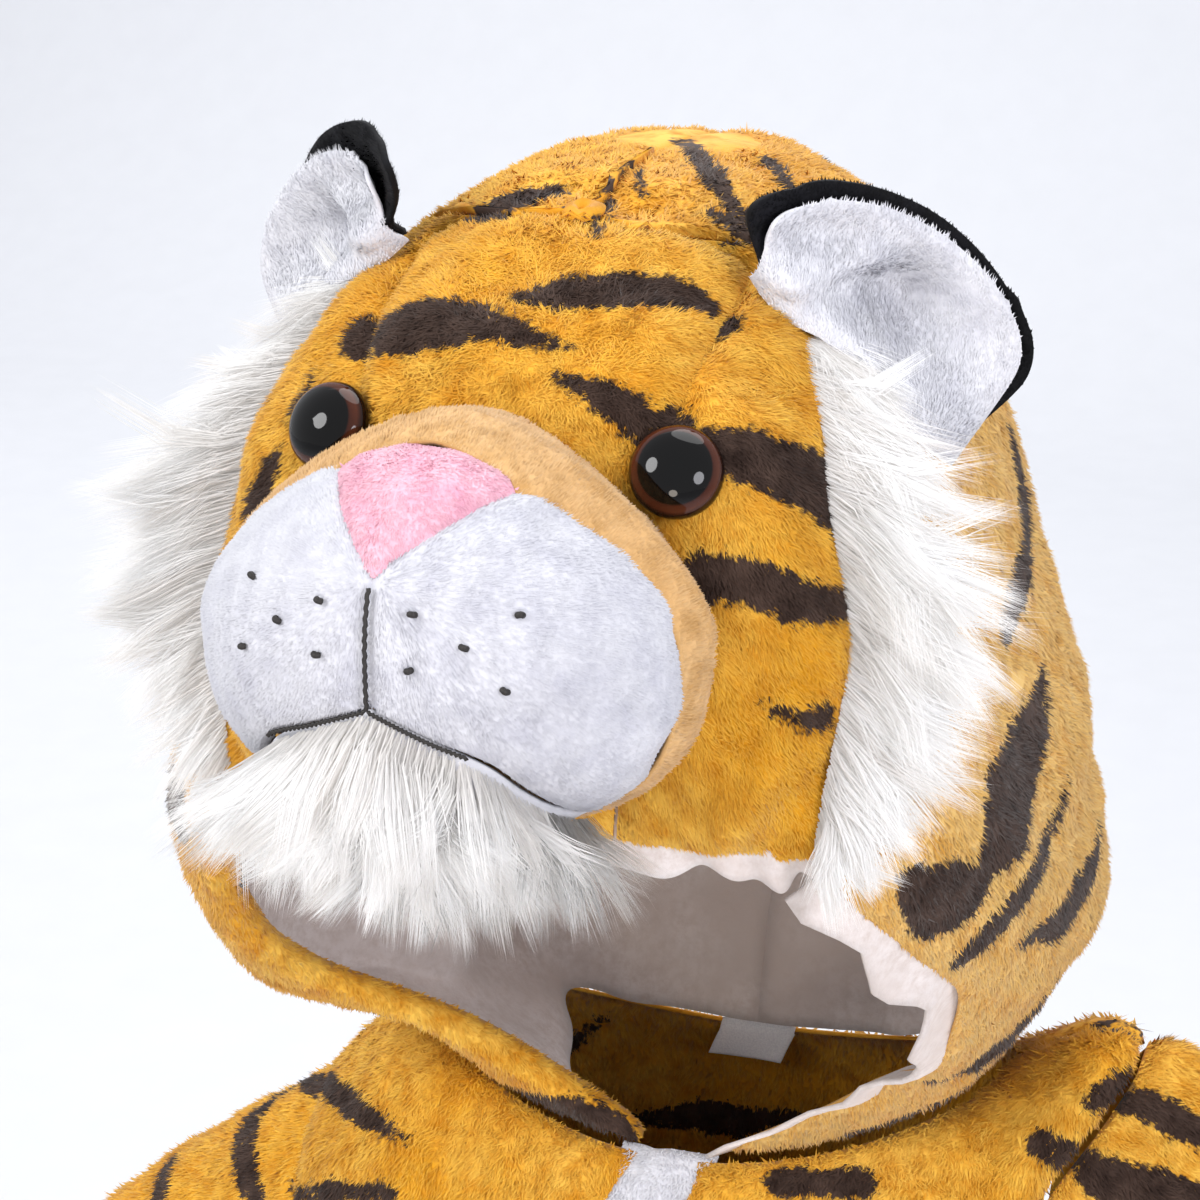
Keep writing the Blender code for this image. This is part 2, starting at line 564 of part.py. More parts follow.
def ear_on_hood(grid, behind):
    """The ear raised, most at its foot, until both its layers stand clear of the hood."""
    up, rows = unit(EAR_UP), np.linspace(0, 1, grid.shape[0])
    hold = (1 - rows)[:, None, None] ** 1.5
    lift = np.zeros((1, grid.shape[1], 1))
    for _ in range(40):
        raised = grid + lift * hold * up
        under = raised - (2 * PLUSH + EAR_GAP) * ear_normals(raised, behind)
        buried = ~(clear_of_hood(raised) & clear_of_hood(under)).all(axis=0)
        if not buried.any():
            break
        lift[0, buried] += 0.4
        lift[0, 1:-1, 0] = np.maximum(lift[0, 1:-1, 0], (lift[0, :-2, 0] + lift[0, 2:, 0]) / 2)
    return raised


def make_ears(materials):
    for name, side in both_sides():
        behind = np.array([-100, 900, 900])
        inner = ear_on_hood(ear_grid(), behind)
        rows, columns = np.linspace(0, 1, inner.shape[0]), np.linspace(-1, 1, inner.shape[1])
        sides = np.abs(columns)[None] ** 6 * np.minimum(2 * rows, 1)[:, None]
        rim = np.maximum(sides, rows[:, None] ** 6)[..., None]
        outward = unit(inner - inner[3:5].mean(axis=(0, 1)))
        low = (1 - rows)[:, None, None] ** 9
        out = ear_normals(inner, behind)
        back = inner - (PLUSH + EAR_GAP) * out
        back = back + EAR_RIM * rim * outward + unit(inner[1] - inner[0]) * EAR_BACK_UP * low
        out = mirrored(out, side)
        wall(f"ear_inner_{name}", mirrored(inner, side), materials["white_plush"], PLUSH, behind, normals=out)
        wall(f"ear_back_{name}", mirrored(back, side), materials["black_plush"], PLUSH, behind, normals=out)


def make_eyes(materials):
    """Each eye is a plastic dome on its stud, set on the face."""
    place = hood_point(*EYE_PLACE)
    near = (-2, 0, 2)
    spot = np.array([[hood_point(EYE_PLACE[0] + dx, EYE_PLACE[1] + dz) for dx in near] for dz in near])
    axis = normals_of(spot, (0, -50, 240))[1, 1]
    across = unit(np.cross(axis, (0, 0, 1)))
    upward = np.cross(across, axis)
    shares, highs = (0.88, 1, 0.9, 0.6, 0.2), (0, 1.4, 4.4, 7.2, EYE_HIGH)
    profile = [(EYE_RADIUS * share, high) for share, high in zip(shares, highs)]
    count = 16
    for name, side in both_sides():
        points, faces = [], []
        for radius, high in profile:
            for k in range(count):
                angle = math.tau * k / count
                ray = across * math.cos(angle) + upward * math.sin(angle)
                points.append(place + axis * (high + 0.4) + ray * radius)
        for j in range(len(profile) - 1):
            for k in range(count):
                m = (k + 1) % count
                faces.append([j * count + k, j * count + m, (j + 1) * count + m, (j + 1) * count + k])
        faces.append(list(range(count))[::-1])
        faces.append([(len(profile) - 1) * count + k for k in range(count)])
        build(f"eye_{name}", np.array(points) * (side, 1, 1), faces, materials["eye_plastic"])


def body_point(turn, height, back=False):
    """A point of the body's section. The turn runs from 0 at the middle to a quarter turn at the +X side."""
    width, rise = read(BODY, "height", "width", height), read(BODY, "height", "rise", height)
    deep = read(BODY, "height", "back" if back else "front", height)
    x, y = width * np.sin(turn), deep * np.cos(turn)
    return np.stack([x, y, height + rise * np.sin(turn) ** 2 * np.ones_like(x)], axis=-1)


def leg_point(turn, height, back=False):
    """A point of the leg's section. The turn runs from 0 at the inseam to half a turn at the side."""
    centre, radius = read(LEG, "height", "centre", height), read(LEG, "height", "radius", height)
    deep = radius * np.sin(turn) * (1 if back else -1)
    return np.stack([centre - radius * np.cos(turn), deep, height * np.ones_like(deep)], axis=-1)


def armhole_spread(height):
    middle, half = (ARMHOLE_TOP + ARMHOLE_LOW) / 2, (ARMHOLE_TOP - ARMHOLE_LOW) / 2
    return ARMHOLE_SPREAD * math.sqrt(max(0.0, 1 - ((height - middle) / half) ** 2))


def armhole_heights(count):
    """Heights down the armhole, closer together near its ends."""
    middle, half = (ARMHOLE_TOP + ARMHOLE_LOW) / 2, (ARMHOLE_TOP - ARMHOLE_LOW) / 2
    return middle + half * np.cos(np.linspace(0, math.pi, count + 1))


def body_heights():
    crotch = CROTCH_START + (CROTCH - CROTCH_START) * np.sin(np.linspace(0, math.pi / 2, 7))
    return np.concatenate([
        (-0.0, -6.0),
        armhole_heights(8),
        np.linspace(ARMHOLE_LOW, CROTCH_START, 8)[1:],
        crotch[1:],
        np.linspace(CROTCH, LEG["height"][-1], 6)[1:],
    ])


def panel_row(height, back=False):
    """One level row of a body panel at +X, from its middle edge to its side seam."""
    share = np.linspace(0, 1, 10)
    gap = HALF / read(BODY, "height", "width", max(height, CROTCH))
    edge = 0.0 if back else read(FRONT_GAP, "height", "half", height) / BODY["width"][3]
    end = math.pi / 2 - armhole_spread(height) - gap
    torso = body_point((edge + gap) + (end - edge - gap) * share, max(height, CROTCH), back)
    leg = leg_point(gap * 2 + (math.pi - 4 * gap) * share, min(height, CROTCH), back)
    drop = np.clip((CROTCH_START - height) / (CROTCH_START - CROTCH), 0, 1)
    arch, slow = 1 - math.sqrt(1 - drop**2), soft_step(-height, -HIP_START, -CROTCH)
    blend = (arch + (slow - arch) * soft_step(share, 0, 0.45))[:, None]
    row = (1 - blend) * torso + blend * leg
    row[:, 2] = torso[:, 2] if height > CROTCH else height
    return row


def make_body(materials):
    for name, side in both_sides():
        for face, back in (("front", False), ("back", True)):
            grid = mirrored(np.array([panel_row(height, back) for height in body_heights()]), side)
            keep = [(0, side), (1, 1 if back else -1)]
            inside = (60 * side, 0, -300)
            wall(f"{face}_{name}", grid, materials["tiger_plush"], PLUSH, inside, keep=keep)


def front_depth(out, height):
    """Where the front panels' outer side lies, this far out from the middle."""
    row = panel_row(height)
    return np.interp(abs(out), row[:, 0], row[:, 1])


def make_sleeves(materials):
    turns = np.linspace(0, math.tau, 17)[:-1]
    heights = (ARMHOLE_TOP + ARMHOLE_LOW) / 2 + (ARMHOLE_TOP - ARMHOLE_LOW) / 2 * np.cos(turns)
    hole = []
    for turn, height in zip(turns, heights):
        spread = armhole_spread(height)
        hole.append(body_point(math.pi / 2 - spread, height, back=math.sin(turn) < 0))
    hole = np.array(hole)
    centre = hole.mean(axis=0)
    for name, side in both_sides():
        table = SLEEVES[name]
        middle, rows, last = centre + (0.8, 0, 0), [], 0.0
        for along in np.linspace(0, table["along"][-1], 12):
            slope = math.radians(float(read(table, "along", "slope", along)))
            radius = float(read(table, "along", "radius", along))
            ahead = np.array([math.cos(slope), 0, -math.sin(slope)])
            upward = np.array([math.sin(slope), 0, math.cos(slope)])
            middle = middle + ahead * (along - last)
            last = along
            ring = middle + radius * (np.outer(np.cos(turns), upward) - np.outer(np.sin(turns), (0, 1, 0)))
            blend = float(soft_step(along, 0, 110))
            rows.append((1 - blend) * (hole - centre + middle) + blend * ring)
        grid = mirrored(np.array(rows), side)
        wall(f"sleeve_{name}", grid, materials["tiger_plush"], PLUSH, (240 * side, 0, -130), around=True)


def make_closure(materials):
    """The white strip under the front opening, and the studs that close it."""
    rows = []
    for height in body_heights():
        if height >= CROTCH_START:
            depth = [front_depth(x, height) + PLUSH + UNDERLAP_GAP for x in UNDERLAP_OUT]
            rows.append([(x, y, height) for x, y in zip(UNDERLAP_OUT, depth)])
    wall("front_underlap", np.array(rows), materials["white_plush"], FLEECE, (0, 60, -200))
    count = 12
    for number, height in enumerate(STUD_HEIGHTS, 1):
        y = front_depth(STUD_IN - STUD_RADIUS, height) - STUD_GAP
        points, faces = [], []
        for radius, high in ((STUD_RADIUS, 0), (STUD_RADIUS, 0.9), (STUD_RADIUS * 0.6, STUD_HIGH)):
            for k in range(count):
                across, up = radius * math.cos(math.tau * k / count), radius * math.sin(math.tau * k / count)
                points.append((STUD_IN + across, y - high, height + up))
        for j in range(2):
            for k in range(count):
                m = (k + 1) % count
                faces.append([j * count + k, j * count + m, (j + 1) * count + m, (j + 1) * count + k])
        faces.append(list(range(count))[::-1])
        faces.append([2 * count + k for k in range(count)])
        build(f"stud_{number}", points, faces, materials["stud_plastic"])


def make_label(materials):
    """The blank label folded into the back neck seam."""
    rows = []
    for high in (-0.2, -7, -14, -22):
        y = BODY["back"][0] - 2.6 - 0.1 * abs(high)
        rows.append([(x, y - 0.0045 * x * x, high) for x in np.linspace(-14, 14, 4)])
    wall("neck_label", np.array(rows), materials["label_tape"], 0.8, (0, 200, -10))


def main():
    clear_scene()
    materials = make_materials()
    for make in (make_hood, make_face, make_muzzle, make_beard, make_ruffs, make_ears, make_eyes):
        make(materials)
    for make in (make_body, make_sleeves, make_closure, make_label):
        make(materials)


main()
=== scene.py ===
"""Looks of the toddler's hooded tiger onesie: plush, fur, lining, stitching, studio and camera.

Metres in Blender, +Z up; every size in the tables and functions is in millimetres until add_mesh() turns it
into metres. The tiger looks along -Y and its left side is +X. The shape tables are the ones the solids have.
"""

import math

import bpy
import numpy as np
from mathutils import Matrix, Vector


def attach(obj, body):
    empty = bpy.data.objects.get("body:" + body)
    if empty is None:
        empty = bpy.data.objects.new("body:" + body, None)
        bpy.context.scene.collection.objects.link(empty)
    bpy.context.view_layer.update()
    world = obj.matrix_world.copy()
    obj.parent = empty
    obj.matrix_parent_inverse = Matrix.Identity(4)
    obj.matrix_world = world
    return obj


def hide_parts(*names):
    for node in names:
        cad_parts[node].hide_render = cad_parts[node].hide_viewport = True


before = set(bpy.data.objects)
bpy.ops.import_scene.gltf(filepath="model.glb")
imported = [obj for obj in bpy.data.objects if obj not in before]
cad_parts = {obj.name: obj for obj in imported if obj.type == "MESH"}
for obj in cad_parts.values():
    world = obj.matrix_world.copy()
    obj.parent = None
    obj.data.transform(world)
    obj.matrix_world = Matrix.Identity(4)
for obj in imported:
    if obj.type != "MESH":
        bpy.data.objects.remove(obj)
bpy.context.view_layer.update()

MM = 0.001
PLUSH = 2.4  # thickness of the plush cloth, pile included
LINING_IN = 4.4  # depth of the lining's outer side under the hood's outer side
SEAM = 0.3  # gap between neighbouring pieces
HALF = SEAM / 2

# The tiger's left side lies at +X.
SIDES = (("left", 1), ("right", -1))

# The hood's level sections, each a squared oval, and how far out the side panel's front edge lies.
HOOD = {
    "height": (0, 28, 63, 100, 140, 182, 233, 280, 312, 332, 343, 350, 354),
    "width": (108, 128, 138, 138, 135, 125, 110, 98, 82, 64, 48, 31, HALF),
    "front": (-53, -69, -103, -146, -180, -200, -205, -200, -184, -156, -138, -118, -76),
    "back": (57, 64, 80, 90, 96, 98, 95, 82, 60, 36, 14, -8, -36),
    "front_square": (2.0, 2.4, 3.0, 3.6, 4.0, 4.4, 4.4, 4.2, 3.2, 2.5, 2.2, 2.0, 2.0),
    "back_square": (2.0, 2.2, 2.4, 2.5, 2.5, 2.5, 2.4, 2.3, 2.2, 2.1, 2.0, 2.0, 2.0),
}
HOOD_EDGE = {
    "height": (0, 28, 63, 100, 140, 182, 233, 280, 312, 332, 340, 346),
    "out": (19, 64, 105, 118, 110, 95, 98, 89, 76, 60, 41, 0),
}
FACE_SEAM = {"height": (182, 240, 290, 305, 332, 340, 346), "out": (34, 40, 44, 47, 50, 36, 0)}
FACE_LOW, SEAM_TOP, CROWN = 182, 346, 354
NECK_RISE, NECK_GAP, NECK_ENDS = 28, 0.7, 75

# The body's level sections from the neck down, with the rise of each ring at its sides.
BODY = {
    "height": (0, -5, -14, -30, -60, -120, -220, -320, -390, -435, -470),
    "width": (109, 133, 152, 162, 166, 166, 167, 173, 177, 174, 168),
    "front": (-54, -61, -68, -75, -82, -90, -98, -104, -102, -93, -82),
    "back": (58, 64, 69, 74, 80, 85, 87, 92, 96, 91, 83),
    "rise": (28, 26, 20, 11, 3, 0, 0, 0, 0, 0, 0),
}
LEG = {
    "height": (-470, -520, -600, -680, -716),
    "centre": (87, 87, 85, 81, 79),
    "radius": (81, 76, 66, 56, 53),
}
FRONT_GAP = {"height": (0, -40, -110, -716), "half": (17, 12, 1.0, 1.0)}
ARMHOLE_TOP, ARMHOLE_LOW, ARMHOLE_SPREAD = -16, -128, math.radians(36)
HIP_START, CROTCH_START, CROTCH = -300, -404, -470

# Each sleeve's middle line: distance from the armhole, slope below level in degrees, and tube radius.
SLEEVES = {
    "left": {"along": (0, 60, 130, 210, 290), "slope": (16, 18, 30, 46, 56), "radius": (58, 54, 49, 45, 43)},
    "right": {"along": (0, 60, 130, 210, 290), "slope": (42, 43, 50, 58, 64), "radius": (58, 54, 49, 45, 43)},
}

# The lean of the filled garment: its level lines drop to the left at the head and rise at the shoulders.
LEAN = {
    "height": (-720, -300, -120, -40, -12, 0, 60, 180, 300),
    "rise": (0.0, 0.0, 0.03, 0.03, 0.03, 0.03, 0.04, 0.0, -0.03),
    "sway": (-12, -18, -22, -14, -4, 0, 0, 0, 0),
}
SHOULDER_LIFT, SHOULDER_DROP, SHOULDER_FROM, SHOULDER_TO = 42, 18, 95, 165

# The largest folds of the filled cloth, each pushed along a way between two points. The first is the slack
# of the hood's right rim, which swells out.
FOLDS = (
    {"start": (-130, -130, 160), "end": (-130, -80, 90), "way": (-1, -0.1, -0.25), "depth": 13, "width": 48},
    {"start": (136, -40, 52), "end": (70, -95, 30), "way": (-0.8, 0.6, 0), "depth": 9, "width": 16},
    {"start": (-136, -30, 44), "end": (-85, -90, 28), "way": (0.8, 0.6, 0), "depth": 7, "width": 15},
    {"start": (130, 10, 130), "end": (120, -80, 95), "way": (-1, 0, 0), "depth": 4, "width": 20},
    {"start": (60, -178, 232), "end": (72, -168, 190), "way": (-0.5, 0.85, 0), "depth": 4, "width": 11},
    {"start": (-12, -115, 352), "end": (12, -122, 350), "way": (0, 0.2, -1), "depth": 4, "width": 9},
    {"start": (120, -60, -130), "end": (48, -98, -175), "way": (-0.3, 1, 0), "depth": 8, "width": 24},
    {"start": (-125, -55, -125), "end": (-50, -98, -160), "way": (0.3, 1, 0), "depth": 7, "width": 22},
    {"start": (-150, -40, -250), "end": (-40, -105, -285), "way": (0.3, 1, 0), "depth": 6, "width": 26},
    {"start": (72, -96, -392), "end": (130, -70, -360), "way": (-0.2, 1, 0), "depth": 9, "width": 20},
    {"start": (-54, -100, -400), "end": (-125, -75, -370), "way": (0.2, 1, 0), "depth": 8, "width": 22},
    {"start": (110, 75, -140), "end": (10, 90, -190), "way": (-0.2, -1, 0), "depth": 8, "width": 26},
    {"start": (-130, 60, -230), "end": (-20, 92, -265), "way": (0.2, -1, 0), "depth": 7, "width": 25},
    {"start": (20, 98, -395), "end": (125, 70, -350), "way": (-0.2, -1, 0), "depth": 8, "width": 24},
    {"start": (40, -80, -590), "end": (135, -30, -620), "way": (-0.3, 1, 0), "depth": 6, "width": 20},
    {"start": (-45, -75, -560), "end": (-135, -30, -600), "way": (0.3, 1, 0), "depth": 6, "width": 20},
    {"start": (-50, 75, -640), "end": (-130, 30, -610), "way": (0.3, -1, 0), "depth": 5, "width": 20},
    {"start": (240, -50, -110), "end": (262, 30, -150), "way": (-0.5, 0.3, 0.6), "depth": 6, "width": 16},
    {"start": (-215, -50, -170), "end": (-245, 30, -175), "way": (0.5, 0.3, 0.6), "depth": 6, "width": 16},
    {"start": (300, -40, -215), "end": (330, 30, -190), "way": (0.5, 0.4, 0.5), "depth": 5, "width": 15},
    {"start": (-262, -45, -235), "end": (-295, 30, -250), "way": (0.5, 0.4, 0.3), "depth": 5, "width": 15},
)

# The stuffed muzzle, as seen from the front: an oval dome standing on the face.
MUZZLE_MIDDLE, MUZZLE_WIDE, MUZZLE_UP, MUZZLE_DOWN = 255, 71, 54, 60
MUZZLE_BACK, MUZZLE_REACH, MUZZLE_ROUND = -196, 85, 2.6
MUZZLE_EDGE, MUZZLE_FOOT, BEARD_EDGE = 0.988, 0.87, 0.95
CHEEK_LOWER = {"along": (0, 0.3, 0.6, 0.8, 1), "x": (HALF, 15, 30, 39, 46), "z": (246, 240, 233.5, 222, 209)}
CHEEK_UPPER = {
    "along": (0, 0.1, 0.2, 0.32, 0.45, 0.6, 0.8, 1),
    "x": (HALF, 12.5, 25.4, 41, 53, 63.5, 66.3, 54.3),
    "z": (278.5, 288, 294.6, 286.7, 277.3, 263.5, 243, 214.8),
}
NOSE = {
    "out": (0, 7, 13, 19, 24.4),
    "low": (280.0, 285.2, 290.1, 293.4, 295.2),
    "up": (303.6, 303.1, 301.4, 299.1, 296.7),
}
BAND_INNER = {
    "turn": (-90, -62, -48, -37, -25, -10, 7, 23, 38, 57, 63, 90),
    "share": (0.965, 0.965, 0.965, 0.965, 0.958, 0.953, 0.95, 0.949, 0.935, 0.914, 0.934, 0.94),
}

# The ears stand on the hood: their feet, the way up and the way they face, half width, height and hollow.
EAR_FOOT = {"along": (0, 0.5, 1), "height": (331, 303, 268), "turn": (44, 66, 84)}
EAR_UP, EAR_FORWARD = (0.34, 0.4, 0.88), (0.50, -0.84, -0.11)
EAR_HALF, EAR_HIGH, EAR_CUP, EAR_ROLL, EAR_RIM, EAR_GAP = 43, 50, 15, 7, 3.0, 1.4
EAR_STAND, EAR_CLEAR = 1.2, 0.016
EYE_PLACE, EYE_FOOT, EYE_RADIUS, EYE_RIM, EYE_HIGH = (50.5, 290.5), (11.0, -0.4), 12.8, 0.6, 8.6

# Long fur: locks stand on narrow backing strips beside the face and under the muzzle.
# Each ruff has its top, how far ahead of the hood's edge it starts, as a turn, and how far its fur sweeps out
# at its front edge and how much more behind. Strands bend at their levels and gather into locks.
RUFF_LOW, RUFF_WIDE, RUFF_LENGTH = 186, 12, 52
RUFFS = {
    "left": {"top": 318, "ahead": 0.07, "sweep": (0.25, 0.75)},
    "right": {"top": 323, "ahead": 0.11, "sweep": (0.7, 0.3)},
}
BEARD_HALF, BEARD_LENGTH = 42, 54
STRAND_LEVELS, STRAND_GATHER, STRAND_STAND = (0, 0.3, 0.65, 1.0), 0.72, 0.6

STUD_HEIGHTS, STUD_RADIUS, STUD_IN = (-128, -187, -246, -306, -364), 5.0, 9.0
STUD_PROFILE = (
    (4.6, 0.0), (5.0, 0.2), (5.0, 0.8), (4.6, 1.25), (3.4, 1.6), (2.6, 1.45), (1.6, 1.4), (0, 1.4),
)
STUD_GAP, UNDERLAP_GAP, UNDERLAP_HALF = 0.55, 1.9, 17

# How far from a seam its tuck reaches, where puff and wrinkles start and are full, and a wrinkle's size.
TUCK_REACH, PUFF_STARTS, WRINKLE_STARTS, WRINKLE_SIZE = 4.5, (2, 26), (3, 16), 34
STRIPE_LIMIT = 9  # how far from a stripe's edge the print's value still tells the distance

# A place inside each form, from which its cloth faces away.
INSIDE_HOOD, INSIDE_FACE, INSIDE_MUZZLE = (0, -50, 180), (0, -50, 260), (0, -205, MUZZLE_MIDDLE)
INSIDE_RUFF = (0, -50, 240)

# Creases of single pieces of cloth, pushed like the folds above. Those of the cheeks are given at +X.
HOOD_CREASES = (
    {"start": (133, -62, 112), "end": (94, -64, 30), "way": (0.8, -0.5, -0.2), "depth": 4.5, "width": 8},
    {"start": (128, -34, 84), "end": (84, -52, 6), "way": (0.8, -0.6, 0.2), "depth": -4, "width": 7},
    {"start": (120, 20, 150), "end": (112, -10, 40), "way": (0.9, 0.3, 0), "depth": -3.5, "width": 9},
    {"start": (122, -92, 200), "end": (132, -80, 130), "way": (1, -0.3, 0), "depth": -2.5, "width": 8},
)
LINING_FOLDS = {
    "left": (
        {"start": (96, 20, 20), "end": (90, 40, 160), "way": (-1, -0.4, 0), "depth": 6, "width": 13},
        {"start": (60, 45, 10), "end": (40, 70, 120), "way": (0, -1, 0), "depth": 4, "width": 10},
    ),
    "right": (
        {"start": (-104, 2, 26), "end": (-128, -10, 92), "way": (1, 0, -0.55), "depth": 50, "width": 33},
        {"start": (-76, -32, 10), "end": (-98, -42, 48), "way": (1, 0.1, -0.5), "depth": 34, "width": 22},
        {"start": (-50, 50, 10), "end": (-36, 72, 120), "way": (0, -1, 0), "depth": 4, "width": 11},
    ),
}
CHEEK_FOLDS = (
    {"start": (64, -203, 184), "end": (86, -196, 226), "depth": 4.0, "width": 7},
    {"start": (76, -200, 182), "end": (96, -184, 216), "depth": -3.0, "width": 5},
    {"start": (58, -196, 262), "end": (92, -178, 244), "depth": 1.6, "width": 7},
)

# The hood's right rim rolls in: how far ahead of its edge and how deep under it each column lies.
RIM_ROLL = ((3, 0.3), (6, 1.6), (8.2, 3.8), (9.2, 6.8), (8.6, 10), (6.5, 13))

# Whisker knots: each side's places on the muzzle, seen from the front.
KNOTS = (
    ("left", 1, ((12, 272), (36, 272), (25, 265), (12, 258.5), (35, 255))),
    ("right", -1, ((-36, 272), (-13, 272), (-25, 265), (-36, 256), (-13, 259))),
)

# Stripes seen in front, as the line down the middle of each and its half width along it, in millimetres.
STRIPES = (
    ("brow", ((-40, -175, 316), (-26, -174, 319), (-7, -177, 318), (13, -178, 316)), (6.1, 6.6, 3.8, 0.8)),
    (
        "brow", ((-4, -167, 325), (5, -163, 327), (19, -161, 327), (37, -153, 327), (50, -150, 323)),
        (1.7, 4.1, 4.7, 4.7, 1.4),
    ),
    ("brow", ((15, -186, 308), (26, -186, 306), (35, -188, 302), (40, -191, 297)), (1.6, 3.2, 4.3, 2.7)),
    ("eye", ((55, -188, 296), (67, -184, 291), (79, -176, 285), (90, -164, 277)), (2.6, 6.4, 7.5, 7.6)),
    ("cheek", ((57, -199, 263), (69, -196, 261), (83, -188, 256), (94, -175, 252)), (4.5, 4.8, 4.3, 2.7)),
    ("cheek", ((78, -197, 228), (86, -192, 225), (91, -187, 224)), (1.1, 2.7, 3.0)),
    ("far cheek", ((-63, -178, 303), (-64, -186, 295), (-66, -189, 288)), (0.8, 1.4, 0.8)),
    ("far cheek", ((-65, -191, 285), (-70, -192, 276), (-76, -193, 268)), (0.8, 2.4, 3.8)),
    ("far cheek", ((-76, -196, 250), (-86, -192, 246), (-95, -184, 240)), (1.5, 3.6, 3.0)),
    ("far cheek", ((-78, -197, 222), (-88, -192, 220), (-97, -182, 216)), (1.2, 3.0, 2.4)),
    ("crown", ((1, -126, 346), (8, -143, 339)), (2.0, 1.1)),
    ("crown", ((7, -134, 344), (15, -125, 344)), (1.4, 0.6)),
    ("crown", ((32, -114, 343), (43, -116, 336)), (2.6, 2.6)),
    ("crown", ((-32, -124, 342), (-22, -125, 345), (-16, -116, 347)), (4.1, 5.2, 2.9)),
    ("crown", ((2, -91, 353), (11, -115, 347)), (0.9, 0.9)),
    ("crown", ((2, -47, 354), (29, -96, 348), (46, -114, 336)), (2.8, 3.5, 2.3)),
    ("crown", ((31, -52, 349), (41, -68, 345), (47, -76, 342)), (2.4, 3.0, 1.8)),
    (
        "side", ((100, -12, 260), (104, -6, 240), (111, -32, 227), (114, -55, 218), (117, -81, 209)),
        (1.3, 2.9, 2.8, 2.8, 1.5),
    ),
    ("side", ((125, -49, 187), (127, -77, 181), (127, -119, 178), (126, -139, 163)), (1.3, 4.0, 7.0, 2.0)),
    ("side", ((133, -56, 165), (135, -76, 155), (132, -115, 146), (121, -136, 135)), (0.6, 1.8, 3.0, 2.6)),
    ("side", ((136, -12, 128), (137, -29, 119), (135, -63, 116), (130, -99, 123)), (0.7, 2.9, 3.2, 0.9)),
    ("side", ((112, -169, 169), (119, -156, 160), (125, -140, 156)), (2.5, 5.7, 4.0)),
    ("side", ((131, -15, 68), (125, -25, 55), (113, -45, 48), (96, -61, 52)), (0.8, 3.0, 4.4, 2.9)),
    ("rim", ((70, -53, 3), (89, -41, 13), (116, -31, 27)), (3.4, 3.4, 0.7)),
    ("rim", ((-144, -70, 65), (-139, -55, 50)), (4.2, 4.3)),
    ("rim", ((-103, -52, 14), (-94, -54, 8)), (2.8, 2.8)),
    ("rim", ((-65, -56, -4), (-43, -58, -4), (-22, -60, -5)), (7.1, 12.7, 7.0)),
    ("shoulder", ((-178, 8, -30), (-184, -8, -42), (-183, -23, -52), (-170, -37, -61)), (2.8, 4.2, 5.0, 3.8)),
    ("shoulder", ((-174, 6, -28), (-160, -9, -27), (-124, -41, -13), (-98, -54, -13)), (2.4, 4.2, 4.0, 1.4)),
    ("shoulder", ((-154, -39, -54), (-132, -51, -40), (-100, -64, -33)), (2.6, 3.3, 2.5)),
    ("shoulder", ((-232, -10, -62), (-226, -18, -72), (-219, -25, -80)), (2.8, 4.7, 4.7)),
    ("shoulder", ((137, 3, 49), (151, 7, 46), (166, 10, 43)), (1.7, 1.7, 1.0)),
    ("shoulder", ((143, -25, 36), (160, -20, 32), (177, -20, 29)), (3.4, 4.4, 4.3)),
    ("shoulder", ((127, -38, 20), (151, -35, 11), (177, -35, 9)), (4.0, 6.0, 5.3)),
    ("shoulder", ((42, -57, 0), (70, -54, 1)), (4.1, 4.1)),
    ("inside", ((-85, 64, -34), (-67, 60, -13)), (4.4, 2.8)),
    ("inside", ((-64, 75, -68), (-25, 77, -57), (14, 75, -53)), (1.6, 8.0, 2.0)),
)

# How much wider each kind of stripe is on the cloth than its drawn line, and the kinds that cross the face.
WIDEN = {
    "brow": 1.45, "eye": 1.25, "cheek": 1.4, "far cheek": 1.5, "crown": 1.35, "side": 2.3, "rim": 1.2,
    "shoulder": 1.35, "inside": 1.1,
}
FACE_KINDS = ("brow", "eye", "cheek", "far cheek", "crown")

# Each cloth's pile: tufts for a square millimetre, their length and width, their lean from upright in
# degrees, how far they gather in clumps, and how unevenly they shine.
PILES = {
    "hood": (0.74, 3.4, 0.85, 66, 0.25, 0.16),
    "face": (2.4, 3.2, 0.62, 64, 0.25, 0.16),
    "muzzle": (2.4, 1.6, 0.5, 72, 0.06, 0.08),
    "nose": (4.0, 1.3, 0.42, 70, 0.08, 0.16),
    "band": (1.6, 2.0, 0.6, 68, 0.1, 0.1),
    "ear": (2.2, 2.1, 0.55, 66, 0.1, 0.16),
    "ear rim": (2.3, 1.9, 0.46, 50, 0.35, 0.16),
    "ear back": (1.5, 2.4, 0.5, 64, 0.15, 0.16),
    "body": (0.11, 4.8, 1.35, 62, 0.25, 0.16),
    "neck": (0.5, 3.2, 1.0, 62, 0.35, 0.16),
    "shoulder": (1.35, 3.4, 0.75, 66, 0.25, 0.16),
    "sleeve": (0.16, 4.6, 1.3, 62, 0.25, 0.16),
    "upper sleeve": (0.95, 3.5, 0.82, 66, 0.25, 0.16),
    "underlap": (1.5, 2.6, 0.65, 56, 0.35, 0.16),
}

# The label from the side: depth behind the seam, and height, down to its fold and up again.
LABEL_FOLD = (
    (0, -0.2), (0.1, -5), (0.3, -10), (0.6, -14.5), (0.9, -15.6),
    (1.5, -16), (2.1, -15.4), (2.3, -13), (2.2, -9), (2.0, -4),
)

# The photograph's view: turned to the tiger's left and raised, so far from the head, with the frame's shift.
CAMERA_TURN, CAMERA_RISE, CAMERA_FAR = math.radians(20.8), math.radians(18.6), 1021.0
CAMERA_SIDE, CAMERA_UP, LENS = 41.93, -176.86, 84.0

